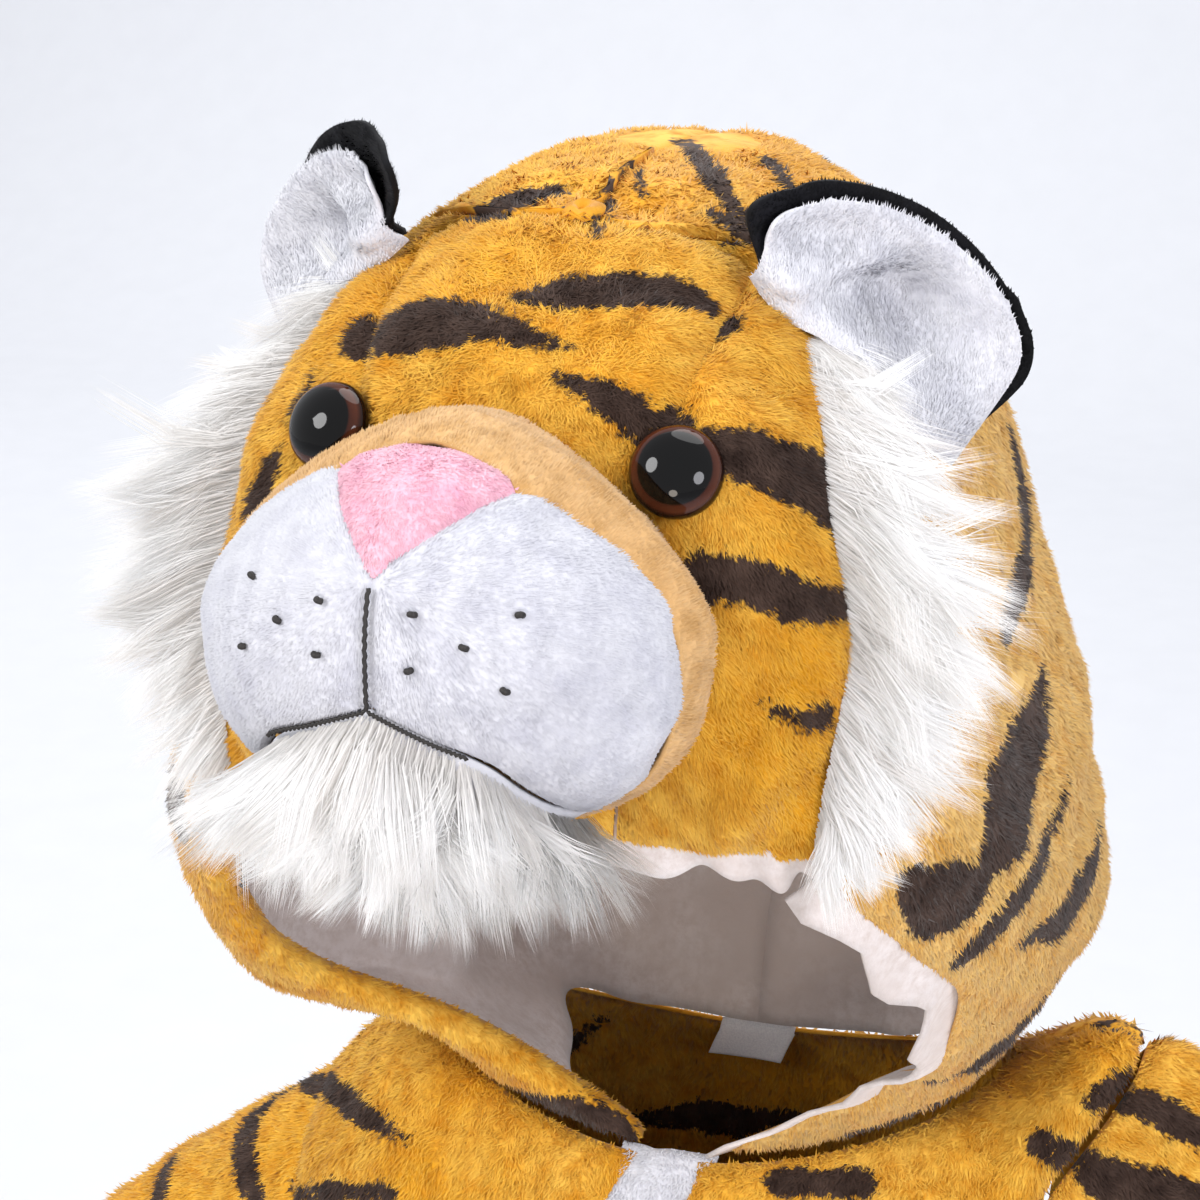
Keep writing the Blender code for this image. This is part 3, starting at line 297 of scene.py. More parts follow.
# The studio in metres: the floor, where the paper bends up, and its half width. Each light has its place, the
# place it is aimed at, its size, watts, colour and spread in degrees.
FLOOR, PAPER_NEAR, PAPER_BEND, PAPER_CURVE, PAPER_TOP, PAPER_HALF = -0.735, -6.0, 3.4, 1.2, 4.0, 7
LIGHTS = (
    ("window_light", (-1.3, -1.7, 1.5), (0, -0.1, 0.2), 1.0, 37, "#FFFFFF", 180),
    ("fill_light", (1.7, -1.3, 0.8), (0, -0.05, 0.15), 0.8, 22, "#F8F8FF", 180),
    ("top_light", (0.2, 0.5, 1.8), (0, 0, 0.2), 1.4, 18, "#FFFFFF", 180),
    ("front_light", (0.25, -1.5, 0.05), (0, 0.02, 0.05), 0.35, 3.5, "#FFF3E6", 180),
    ("paper_light", (-1.4, 2.2, 3.2), (-1.8, 3.4, FLOOR), 3.0, 27, "#FBFCFF", 110),
)


def read(table, key, column, at):
    """A smooth reading of a table's column, by slopes that never overshoot."""
    x, y = np.asarray(table[key], float), np.asarray(table[column], float)
    if x[0] > x[-1]:
        x, y = x[::-1], y[::-1]
    step, rise = np.diff(x), np.diff(y) / np.diff(x)
    slope = np.zeros(len(x))
    same = rise[:-1] * rise[1:] > 0
    inner = np.zeros(len(x) - 2)
    inner[same] = 2 * rise[:-1][same] * rise[1:][same] / (rise[:-1][same] + rise[1:][same])
    slope[1:-1] = inner
    slope[0], slope[-1] = rise[0], rise[-1]
    at = np.clip(np.asarray(at, float), x[0], x[-1])
    k = np.clip(np.searchsorted(x, at) - 1, 0, len(x) - 2)
    t = (at - x[k]) / step[k]
    return (
        (2 * t**3 - 3 * t**2 + 1) * y[k]
        + (t**3 - 2 * t**2 + t) * step[k] * slope[k]
        + (3 * t**2 - 2 * t**3) * y[k + 1]
        + (t**3 - t**2) * step[k] * slope[k + 1]
    )


def soft_step(value, low, high):
    t = np.clip((np.asarray(value, float) - low) / (high - low), 0, 1)
    return t * t * (3 - 2 * t)


def settle(points):
    """The garment's folds and its lean, applied to every piece alike so that neighbours stay together."""
    points = np.array(points, float)
    for fold in FOLDS:
        points = pushed(points, **fold)
    x = points[..., 0]
    lift = np.where(x > 0, SHOULDER_LIFT, -SHOULDER_DROP) * soft_step(np.abs(x), SHOULDER_FROM, SHOULDER_TO)
    near_shoulder = 1 - soft_step(np.abs(points[..., 2]), 60, 260)
    rise, sway = (read(LEAN, "height", column, points[..., 2]) for column in ("rise", "sway"))
    points[..., 2] += x.clip(-170, 170) * rise + lift * near_shoulder
    points[..., 0] += sway
    return points


def pushed(points, start, end, way, depth, width):
    """The points near a line pushed along a way."""
    start, way = np.array(start, float), unit(way)
    line = np.array(end, float) - start
    share = np.clip((points - start) @ line / (line @ line), 0, 1)
    away = np.linalg.norm(points - start - share[..., None] * line, axis=-1)
    return points + depth * np.exp(-((away / width) ** 2))[..., None] * way


def creased(grid, folds):
    """A grid with these folds pushed into it."""
    for fold in folds:
        grid = pushed(grid, **fold)
    return grid


def unit(vectors):
    vectors = np.asarray(vectors, float)
    return vectors / np.maximum(np.linalg.norm(vectors, axis=-1, keepdims=True), 1e-9)


def short_unit(vectors):
    """Unit vectors, but shorter where the vectors are under a millimetre and their way is uncertain."""
    return vectors / np.maximum(np.linalg.norm(vectors, axis=-1, keepdims=True), 1.0)


def normals_of(grid, inside, around=False, steady=False):
    """Unit normals of a grid, away from the place inside. Steady ones keep level at its narrow top."""
    if around:
        wide = np.concatenate([grid[:, -1:], grid, grid[:, :1]], axis=1)
        along = np.gradient(wide, axis=1)[:, 1:-1]
    else:
        along = np.gradient(grid, axis=1)
    normal = unit(np.cross(along, np.gradient(grid, axis=0)))
    if (normal * (grid - np.asarray(inside, float))).sum() <= 0:
        normal = -normal
    if steady:
        normal[-3:] = normal[-4]
    return normal


def hood_point(x_or_turn, height, by_turn=False):
    """A point of the hood. A turn runs from 0 at the front to pi at the back, on the +X side."""
    width, front, back = (read(HOOD, "height", column, height) for column in ("width", "front", "back"))
    turn = x_or_turn if by_turn else turn_at(x_or_turn, height)
    squares = [read(HOOD, "height", column, height) for column in ("front_square", "back_square")]
    square = np.where(np.cos(turn) > 0, *squares)
    middle, deep = (front + back) / 2, (back - front) / 2
    x = width * np.abs(np.sin(turn)) ** (2 / square)
    y = middle - deep * np.sign(np.cos(turn)) * np.abs(np.cos(turn)) ** (2 / square)
    rise = (NECK_RISE * np.sin(turn) ** 2 + NECK_GAP) * (1 - soft_step(height, 0, NECK_ENDS))
    return np.stack([x, y, np.broadcast_to(height + rise, np.shape(x))], axis=-1)


def hood_normals(turns, height):
    """Outward normals of the hood along one level row."""
    before, after = np.clip(turns - 0.01, 0, math.pi), np.clip(turns + 0.01, 0, math.pi)
    around = hood_point(after, height, True) - hood_point(before, height, True)
    upward = hood_point(turns, min(height + 0.5, CROWN), True) - hood_point(turns, height - 0.5, True)
    return unit(np.cross(around, upward))


def turn_at(x, height):
    """The turn at which the hood's section is this far out, on its front half."""
    width, square = read(HOOD, "height", "width", height), read(HOOD, "height", "front_square", height)
    return np.arcsin(np.clip(x / np.maximum(width, x), 0, 1) ** (square / 2))


def hood_patch(heights, start, end, columns, inward=0.0):
    """Rows of the hood between two turns for each height, moved inward, and the normals there."""
    share = np.linspace(0, 1, columns)
    turns = [a + (b - a) * share for a, b in zip(start, end)]
    grid = np.stack([hood_point(row, z, True) for row, z in zip(turns, heights)])
    normals = np.stack([hood_normals(row, z) for row, z in zip(turns, heights)])
    grid = grid - inward * normals
    grid[..., 0] = np.maximum(grid[..., 0], HALF)
    return grid, normals


def mirrored(grid, side):
    return grid * np.array([side, 1, 1])


def edge_turn(heights):
    """The turns at which the hood's side panel has its front edge."""
    out = np.where(heights < SEAM_TOP, read(HOOD_EDGE, "height", "out", heights), 0)
    return np.array([float(turn_at(max(x, 0.0), z)) for x, z in zip(out, heights)])


def seam_gap(heights):
    """A seam's gap as a turn of the hood's section."""
    return 1.6 * SEAM / np.maximum(read(HOOD, "height", "width", heights), 20)


def muzzle_share(x, z):
    """How far out of the muzzle's outline a place lies: 0 in the middle, 1 on the outline."""
    above = z > MUZZLE_MIDDLE
    high, square = np.where(above, MUZZLE_UP, MUZZLE_DOWN), np.where(above, 1.5, 2.5)
    wide, tall = np.abs(x) / MUZZLE_WIDE, np.abs(z - MUZZLE_MIDDLE) / high
    return (wide**square + tall**square) ** (1 / square)


def muzzle_point(x, z):
    """The muzzle's surface, one point for each place seen from the front."""
    x, z = np.asarray(x, float), np.asarray(z, float)
    share = np.clip(muzzle_share(x, z), 0, 0.999)
    reach = (1 - share**MUZZLE_ROUND) ** (1 / MUZZLE_ROUND)
    return np.stack([x, MUZZLE_BACK - MUZZLE_REACH * reach, z], axis=-1)


def muzzle_ring(turn, share):
    """A place on the muzzle by its turn from +X upward and its share of the way out."""
    x, z = np.cos(turn), np.sin(turn)
    size = muzzle_share(x, z + MUZZLE_MIDDLE)
    return muzzle_point(share * x / size, MUZZLE_MIDDLE + share * z / size)


def face_behind(points, clear):
    """The points moved straight back until they lie just before the face."""
    points = np.array(points)
    for place in points:
        z = max(place[2], FACE_LOW)
        place[1] = hood_point(abs(place[0]), z)[1] - clear
    return points


def clear_of_hood(place):
    """Which places stand clear of the hood's outer side."""
    width, front, back = (
        read(HOOD, "height", column, place[..., 2]) for column in ("width", "front", "back")
    )
    squares = [read(HOOD, "height", column, place[..., 2]) for column in ("front_square", "back_square")]
    middle, deep = (front + back) / 2, (back - front) / 2
    square = np.where(place[..., 1] < middle, *squares)
    share = np.abs(place[..., 0] / width) ** square + np.abs((place[..., 1] - middle) / deep) ** square
    return (share > 1 + EAR_CLEAR) | (place[..., 2] > CROWN)


def ear_normals(grid, behind):
    """The ear's normals, evened out, with those at the rim's corners taken from the cells beside them."""
    normal = normals_of(grid, behind)
    normal[-1, 0], normal[-1, -1] = normal[-3, 2], normal[-3, -3]
    normal[-1, 1], normal[-1, -2] = normal[-3, 2], normal[-3, -3]
    normal[-2, 0], normal[-2, -1] = normal[-3, 2], normal[-3, -3]
    wide = np.pad(normal, ((1, 1), (1, 1), (0, 0)), mode="edge")
    return unit(2 * normal + wide[:-2, 1:-1] + wide[2:, 1:-1] + wide[1:-1, :-2] + wide[1:-1, 2:])


def ear_on_hood(grid, behind):
    """The ear raised, most at its foot, until both its layers stand clear of the hood."""
    up, rows = unit(EAR_UP), np.linspace(0, 1, grid.shape[0])
    hold = (1 - rows)[:, None, None] ** 1.5
    lift = np.zeros((1, grid.shape[1], 1))
    for _ in range(40):
        raised = grid + lift * hold * up
        under = raised - (2 * PLUSH + EAR_GAP) * ear_normals(raised, behind)
        buried = ~(clear_of_hood(raised) & clear_of_hood(under)).all(axis=0)
        if not buried.any():
            break
        lift[0, buried] += 0.4
        lift[0, 1:-1, 0] = np.maximum(lift[0, 1:-1, 0], (lift[0, :-2, 0] + lift[0, 2:, 0]) / 2)
    return raised


def body_point(turn, height, back=False):
    """A point of the body's section. The turn runs from 0 at the middle to a quarter turn at the +X side."""
    width, rise = read(BODY, "height", "width", height), read(BODY, "height", "rise", height)
    deep = read(BODY, "height", "back" if back else "front", height)
    x, y = width * np.sin(turn), deep * np.cos(turn)
    return np.stack([x, y, height + rise * np.sin(turn) ** 2 * np.ones_like(x)], axis=-1)


def leg_point(turn, height, back=False):
    """A point of the leg's section. The turn runs from 0 at the inseam to half a turn at the side."""
    centre, radius = read(LEG, "height", "centre", height), read(LEG, "height", "radius", height)
    deep = radius * np.sin(turn) * (1 if back else -1)
    return np.stack([centre - radius * np.cos(turn), deep, height * np.ones_like(deep)], axis=-1)


def armhole_spread(height):
    middle, half = (ARMHOLE_TOP + ARMHOLE_LOW) / 2, (ARMHOLE_TOP - ARMHOLE_LOW) / 2
    return ARMHOLE_SPREAD * math.sqrt(max(0.0, 1 - ((height - middle) / half) ** 2))


def armhole_level(turns):
    """The heights of places around the armhole, with a turn of 0 at its top."""
    return (ARMHOLE_TOP + ARMHOLE_LOW) / 2 + (ARMHOLE_TOP - ARMHOLE_LOW) / 2 * np.cos(turns)


def body_heights():
    """Levels from the neck to the hem, closer together at the armhole and where the legs part."""
    crotch = CROTCH_START + (CROTCH - CROTCH_START) * np.sin(np.linspace(0, math.pi / 2, 7))
    return np.concatenate([
        (-0.0, -6.0),
        armhole_level(np.linspace(0, math.pi, 9)),
        np.linspace(ARMHOLE_LOW, CROTCH_START, 8)[1:],
        crotch[1:],
        np.linspace(CROTCH, LEG["height"][-1], 6)[1:],
    ])


def from_hex(code):
    """An sRGB hex colour as linear red, green, blue and alpha."""
    values = [int(code[i : i + 2], 16) / 255 for i in (1, 3, 5)]
    return [*(v / 12.92 if v <= 0.04045 else ((v + 0.055) / 1.055) ** 2.4 for v in values), 1.0]


def add_node(tree, kind, settings=None, links=None):
    """One shader node with its settings, and links into its inputs from other nodes' outputs."""
    node = tree.nodes.new(kind)
    for key, value in (settings or {}).items():
        if hasattr(node, key):
            setattr(node, key, value)
        else:
            node.inputs[key].default_value = value
    for key, (other, output) in (links or {}).items():
        tree.links.new(other.outputs[output], node.inputs[key])
    return node


def new_material(name):
    material = bpy.data.materials.new(name)
    material.use_nodes = True
    tree = material.node_tree
    tree.nodes.clear()
    return material, tree


def finish_material(tree, shader):
    out = tree.nodes.new("ShaderNodeOutputMaterial")
    tree.links.new(shader.outputs[0], out.inputs["Surface"])


def spread(tree, source, low, high, to_low=0.0, to_high=1.0):
    """The source's values from low to high, as others."""
    settings = {"From Min": low, "From Max": high, "To Min": to_low, "To Max": to_high}
    return add_node(tree, "ShaderNodeMapRange", settings, {"Value": source})


def mix_colour(tree, source, low, high, first, second):
    """A colour that goes from the first to the second as the source does from low to high."""
    node = add_node(tree, "ShaderNodeMix", {"data_type": "RGBA"}, {0: (spread(tree, source, low, high), 0)})
    for socket, value in ((6, first), (7, second)):
        if isinstance(value, str):
            node.inputs[socket].default_value = from_hex(value)
        else:
            tree.links.new(value.outputs[2], node.inputs[socket])
    return node


def mark(tree, name):
    """A value that the mesh carries at its points."""
    return add_node(tree, "ShaderNodeAttribute", {"attribute_name": name}), "Fac"


def noise(tree, place, grain, detail=2.0, roughness=0.5):
    """Noise whose grains have about this size in millimetres."""
    settings = {"Scale": 1 / (grain * MM), "Detail": detail, "Roughness": roughness}
    return add_node(tree, "ShaderNodeTexNoise", settings, {"Vector": (place, "Object")}), "Fac"


def matt_surface(tree, colour, grain, strength, depth, settings):
    """A surface of this colour, raised along a grain by a depth in millimetres."""
    bump = add_node(tree, "ShaderNodeBump", {"Strength": strength, "Distance": depth * MM}, {"Height": grain})
    links = {"Base Color": (colour, 2), "Normal": (bump, "Normal")}
    finish_material(tree, add_node(tree, "ShaderNodeBsdfPrincipled", {"IOR": 1.5, **settings}, links))


def velboa(name, ground, light, painted_shade, stripe=None, sheen=0.12, raking_sheen=None):
    """Knitted polyester velboa, brushed and sheared: a dense pile, lighter on its tips with painted sheen.

    The ground is the cloth's own colour. The light tone is painted sheen, in broad soft patches and on the
    pile's tips; the painted shade tone darkens it between tufts, near seams, on inner sides and on some
    blades. A stripe is printed into the pile, so its edge is ragged by a hair or two. Given a paler tone, the
    cloth turns paler low
    on the hood: painted sheen of light that rakes across the pile.
    """
    material, tree = new_material(name)
    place = add_node(tree, "ShaderNodeTexCoord")
    tuft = noise(tree, place, 9, 3.0, 0.6)
    # painted sheen: broad soft patches of the light tone
    colour = mix_colour(tree, noise(tree, place, 55), 0.35, 0.65, ground, light)
    # painted shade between the tufts
    colour = mix_colour(tree, tuft, 0.56, 0.3, colour, painted_shade)
    # painted sheen: below 0.33 m the colour turns to the paler tone, as where light rakes across the pile
    if raking_sheen:
        split = add_node(tree, "ShaderNodeSeparateXYZ", None, {"Vector": (place, "Object")})
        colour = mix_colour(tree, (split, "Z"), 0.33, 0.25, colour, raking_sheen)
    # painted sheen on the pile's tips
    colour = mix_colour(tree, mark(tree, "tip"), 0.35, 1.25, colour, light)
    # painted shade by the mesh's shade mark: near seams, on inner sides and on some blades
    colour = mix_colour(tree, mark(tree, "shade"), 0.0, 1.0, painted_shade, colour)
    if stripe:
        ink = mix_colour(tree, tuft, 0.3, 0.75, stripe, "#4E3C33")
        ragged = spread(tree, noise(tree, place, 2.5, 1.0), 0.2, 0.8, -1.6, 1.6)
        inside = add_node(
            tree, "ShaderNodeMath", {"operation": "ADD"}, {0: mark(tree, "print"), 1: (ragged, 0)},
        )
        colour = mix_colour(tree, (inside, 0), -0.6, 0.6, colour, ink)
    finish = {"Roughness": 0.8, "Specular IOR Level": 0.2, "Sheen Weight": sheen, "Sheen Roughness": 0.45}
    matt_surface(tree, colour, noise(tree, place, 1.6), 0.35, 0.6, finish)
    return material


def long_pile(name):
    """Long-pile modacrylic fur: slack shining strands, cream near the backing and white at the tips."""
    material, tree = new_material(name)
    along = mix_colour(tree, mark(tree, "tip"), 0.0, 0.55, "#E4E1DE", "#F8F8F8")
    colour = mix_colour(tree, mark(tree, "shade"), 0.0, 1.0, "#E6E3E0", along)
    # painted light: the fur glows faintly in its own colour, for light scattered through the strands
    shader = add_node(
        tree, "ShaderNodeBsdfPrincipled",
        {"Roughness": 0.55, "IOR": 1.5, "Specular IOR Level": 0.3, "Emission Strength": 0.14},
        {"Base Color": (colour, 2), "Emission Color": (colour, 2)},
    )
    through = add_node(tree, "ShaderNodeBsdfTranslucent", None, {"Color": (colour, 2)})
    both = add_node(tree, "ShaderNodeMixShader", {"Fac": 0.42}, {1: (shader, 0), 2: (through, 0)})
    finish_material(tree, both)
    return material


def brushed_fleece(name, code, shadow):
    """Brushed polyester fleece: a matt nap with small pills and lint, darker at its pills and in soft patches
    of painted shade.
    """
    material, tree = new_material(name)
    place = add_node(tree, "ShaderNodeTexCoord")
    pills = noise(tree, place, 4, 5.0, 0.7)
    colour = mix_colour(tree, noise(tree, place, 40), 0.3, 0.7, code, shadow)
    colour = mix_colour(tree, pills, 0.6, 0.35, colour, shadow)
    finish = {"Roughness": 0.92, "Specular IOR Level": 0.15, "Sheen Weight": 0.3, "Sheen Roughness": 0.5}
    matt_surface(tree, colour, pills, 0.5, 0.7, finish)
    return material


def polished_eye(name):
    """Injection-moulded safety eye: a black pupil in a dark brown iris under a clear polished dome."""
    material, tree = new_material(name)
    ramp = add_node(tree, "ShaderNodeValToRGB", None, {"Fac": mark(tree, "tip")})
    stops = ((0.0, "#050505"), (0.76, "#060505"), (0.80, "#3C1B10"), (0.90, "#4C2617"), (0.97, "#120806"))
    while len(ramp.color_ramp.elements) < len(stops):
        ramp.color_ramp.elements.new(0.5)
    for element, (place, code) in zip(ramp.color_ramp.elements, stops):
        element.position = place
        element.color = from_hex(code)
    finish = {"Roughness": 0.05, "IOR": 1.46, "Specular IOR Level": 0.3}
    finish_material(tree, add_node(tree, "ShaderNodeBsdfPrincipled", finish, {"Base Color": (ramp, "Color")}))
    return material


def plain_finish(name, code, roughness, grain, depth, shadow):
    """A spun, woven or moulded finish with a fine grain of a real size in millimetres."""
    material, tree = new_material(name)
    place = add_node(tree, "ShaderNodeTexCoord")
    grains = noise(tree, place, grain, 3.0)
    colour = mix_colour(tree, grains, 0.3, 0.7, code, shadow)
    matt_surface(tree, colour, grains, 0.4, depth, {"Roughness": roughness})
    return material


# Each velboa: its own colour, a lighter tone for painted sheen and a darker one for painted shade, then its
# print.
MATERIALS = {
    "tiger": velboa("printed_velboa", "#DE9E1E", "#EDBC4E", "#C98412", stripe="#2A1B14", sheen=0.1),
    # The hood's +X side has a copy that turns paler low down: painted sheen.
    "tiger_side": velboa(
        "printed_velboa_sheen", "#DD9D25", "#EAB650", "#C98615", stripe="#2D1E17", sheen=0.1, raking_sheen="#DDB56C"
    ),
    "white": velboa("white_velboa", "#D9D9DE", "#E0E0E5", "#D0D0D7"),
    "muzzle": velboa("sheared_white_velboa", "#C9C9CF", "#D0D0D6", "#BFBFC8"),
    "tan": velboa("tan_velboa", "#CFA064", "#DDB580", "#B98D54"),
    "pink": velboa("pink_velboa", "#ECB4C4", "#F0C2CE", "#E1A3B8"),
    "black": velboa("black_velboa", "#08080B", "#17171D", "#030304", sheen=0.04),
    "fur": long_pile("long_pile_fur"),
    # The fleece is warm grey, not white: partly painted shade and warm bounce light of the hood's inside, the
    # hem included.
    "fleece": brushed_fleece("brushed_fleece", "#E6DFDD", "#CDC1BB"),
    "eye": polished_eye("polished_eye"),
    "thread": plain_finish("spun_polyester_thread", "#15120F", 0.6, 0.4, 0.15, "#2A2522"),
    "label": plain_finish("woven_label_tape", "#F3F3F4", 0.75, 0.7, 0.08, "#DEDEE2"),
    "stud": plain_finish("moulded_acetal_stud", "#D08F2C", 0.35, 5.0, 0.02, "#C4842A"),
    "backdrop": plain_finish("matt_paper_backdrop", "#E3E4E7", 0.95, 60.0, 0.05, "#E1E2E5"),
}
RANDOM = np.random.default_rng(7)


def waves(points, size, seed):
    """Smooth noise of about this size in millimetres, from sines in five directions, near -1 to 1."""
    source = np.random.default_rng(seed)
    total = 0
    for _ in range(5):
        way = unit(source.normal(size=3)) * math.tau / (size * source.uniform(0.8, 1.5))
        total = total + np.sin(points @ way + source.uniform(0, math.tau))
    return total / 2.4


def add_mesh(name, points, faces, material, marks=None, normals=None):
    """One object from settled points in millimetres and faces that all have the same number of corners."""
    faces = np.asarray(faces, np.int32)
    count, corners = faces.shape
    mesh = bpy.data.meshes.new(name)
    mesh.vertices.add(len(points))
    mesh.vertices.foreach_set("co", (np.asarray(points) * MM).astype(np.float32).ravel())
    mesh.loops.add(count * corners)
    mesh.loops.foreach_set("vertex_index", faces.ravel())
    mesh.polygons.add(count)
    mesh.polygons.foreach_set("loop_start", np.arange(0, count * corners, corners, dtype=np.int32))
    for key, values in (marks or {}).items():
        data = mesh.attributes.new(key, "FLOAT", "POINT").data
        data.foreach_set("value", np.broadcast_to(values, len(points)).astype(np.float32))
    mesh.update(calc_edges=True)
    mesh.shade_smooth()
    if normals is not None:
        mesh.normals_split_custom_set_from_vertices(normals.astype(np.float32))
    mesh.materials.append(material)
    obj = bpy.data.objects.new(name, mesh)
    bpy.context.scene.collection.objects.link(obj)
    return obj


def dress(obj, node=None):
    """Puts an object on the garment's one body and in place of its node."""
    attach(obj, "root")
    if node:
        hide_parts(node)
    return obj


def closed(grid, around):
    """The grid with its first column again as its last, where it goes around."""
    return np.concatenate([grid, grid[:, :1]], axis=1) if around else grid


def corners_of(grid):
    """The four corners of every cell of a grid, in turn."""
    return grid[:-1, :-1], grid[:-1, 1:], grid[1:, 1:], grid[1:, :-1]


def cell_areas(corners):
    return np.linalg.norm(np.cross(corners[2] - corners[0], corners[3] - corners[1]), axis=-1).ravel() / 2


def sown_over(areas, count, source):
    """Cells chosen by their areas, a place in each as shares across and down, and its corners' weights."""
    cell = source.choice(len(areas), count, p=areas / areas.sum())
    u, v = source.random((2, count, 1))
    return cell, u, v, ((1 - u) * (1 - v), u * (1 - v), u * v, (1 - u) * v)


def at_places(grid, cell, weights, size=3):
    """A grid's values at the places sown over it."""
    return sum(w * c.reshape(-1, size)[cell] for w, c in zip(weights, corners_of(grid)))


def edge_distances(grid):
    """For each point of a grid, how far it lies from the first and last row and column, along the cloth."""
    across = np.linalg.norm(np.diff(grid, axis=1), axis=-1)
    down = np.linalg.norm(np.diff(grid, axis=0), axis=-1)
    left = np.concatenate([np.zeros((grid.shape[0], 1)), across.cumsum(axis=1)], axis=1)
    top = np.concatenate([np.zeros((1, grid.shape[1])), down.cumsum(axis=0)], axis=0)
    return {"left": left, "right": left[:, -1:] - left, "top": top, "bottom": top[-1:] - top}


def stripe_marks(points, stripes):
    """How far inside a stripe's ragged edge each point lies, in millimetres, and less than 0 outside it."""
    points = points.reshape(-1, 3)
    if not stripes:
        return np.full(len(points), -float(STRIPE_LIMIT))
    best = np.full(len(points), 99.0)
    for spine, halves in stripes:
        spine, halves = np.array(spine, float), np.array(halves, float)
        along = np.linspace(0, len(spine) - 1, 4 * (len(spine) - 1) + 1)
        index = np.arange(len(spine))
        line = np.stack([np.interp(along, index, spine[:, k]) for k in range(3)], axis=-1)
        if len(spine) > 2:
            line[1:-1] = (line[:-2] + 2 * line[1:-1] + line[2:]) / 4
        half = np.interp(along, index, halves)
        low, high = line.min(axis=0) - 20, line.max(axis=0) + 20
        near = np.nonzero(((points > low) & (points < high)).all(axis=1))[0]
        place = points[near]
        for a, b, h0, h1 in zip(line[:-1], line[1:], half[:-1], half[1:]):
            share = np.clip((place - a) @ (b - a) / max((b - a) @ (b - a), 1e-9), 0, 1)
            away = np.linalg.norm(place - a - share[:, None] * (b - a), axis=1) - (h0 + (h1 - h0) * share)
            best[near] = np.minimum(best[near], away)
    rough = 0.9 * waves(points, 5, 31) + 1.1 * waves(points, 17, 32)
    return np.clip(-best - 0.5 * rough, -STRIPE_LIMIT, STRIPE_LIMIT)


def on_cloth(stripes, grid, reach=24):
    """The stripes laid on a cloth: each point of a stripe's line moves to the nearest place of the grid."""
    flat, laid = grid.reshape(-1, 3), []
    for spine, halves in stripes:
        moved, found = [], False
        for place in np.array(spine, float):
            gaps = np.linalg.norm(flat - place, axis=1)
            nearest = gaps.argmin()
            near = gaps[nearest] < reach
            found |= near
            moved.append(flat[nearest] if near else place)
        if found:
            laid.append((moved, halves))
    return laid


def sown_stripes(
    grid, seed, spacing, half, low, high=1.0, span=(0.45, 0.8), around=False, one_edge=False
):
    """A tiger's print for a panel: tapering stripes that start at its edges by turns, level but wavy."""
    source = np.random.default_rng(seed)
    rows, columns = grid.shape[:2]
    # the stripes are spaced by the length of the cloth down its middle, not by its rows
    down_cloth = np.linalg.norm(np.diff(grid[:, columns // 2], axis=0), axis=-1).cumsum()
    levels = np.concatenate([[0], down_cloth]) / down_cloth[-1]
    count = max(2, int(down_cloth[-1] * (high - low) / spacing * 2))
    stripes = []
    for k in range(count):
        down = low + (high - low) * (k + 0.5 + source.uniform(-0.22, 0.22)) / count
        reach = source.uniform(*span)
        start = source.uniform(0, 1) if around else 0.0
        slope, bend = source.uniform(-0.05, 0.05), source.uniform(-0.02, 0.02)
        line, widths = [], []
        for t in np.linspace(0, 1, 7):
            first = one_edge or k % 2 == 0
            u = start + reach * t if around else (reach * t if first else 1 - reach * t)
            v = np.interp(down + slope * t + bend * math.sin(2.6 * math.pi * t), levels, np.arange(rows))
            i = u % 1 * columns if around else u * (columns - 1)
            line.append(grid[int(v), int(i) % columns])
            if around:
                widths.append(half * (0.2 + 0.9 * math.sin(math.pi * min(t + 0.03, 1)) ** 0.7))
            else:
                widths.append(half * (1 - t**1.7) * source.uniform(0.8, 1.15) + 0.3)
        stripes.append((line, widths))
    return stripes


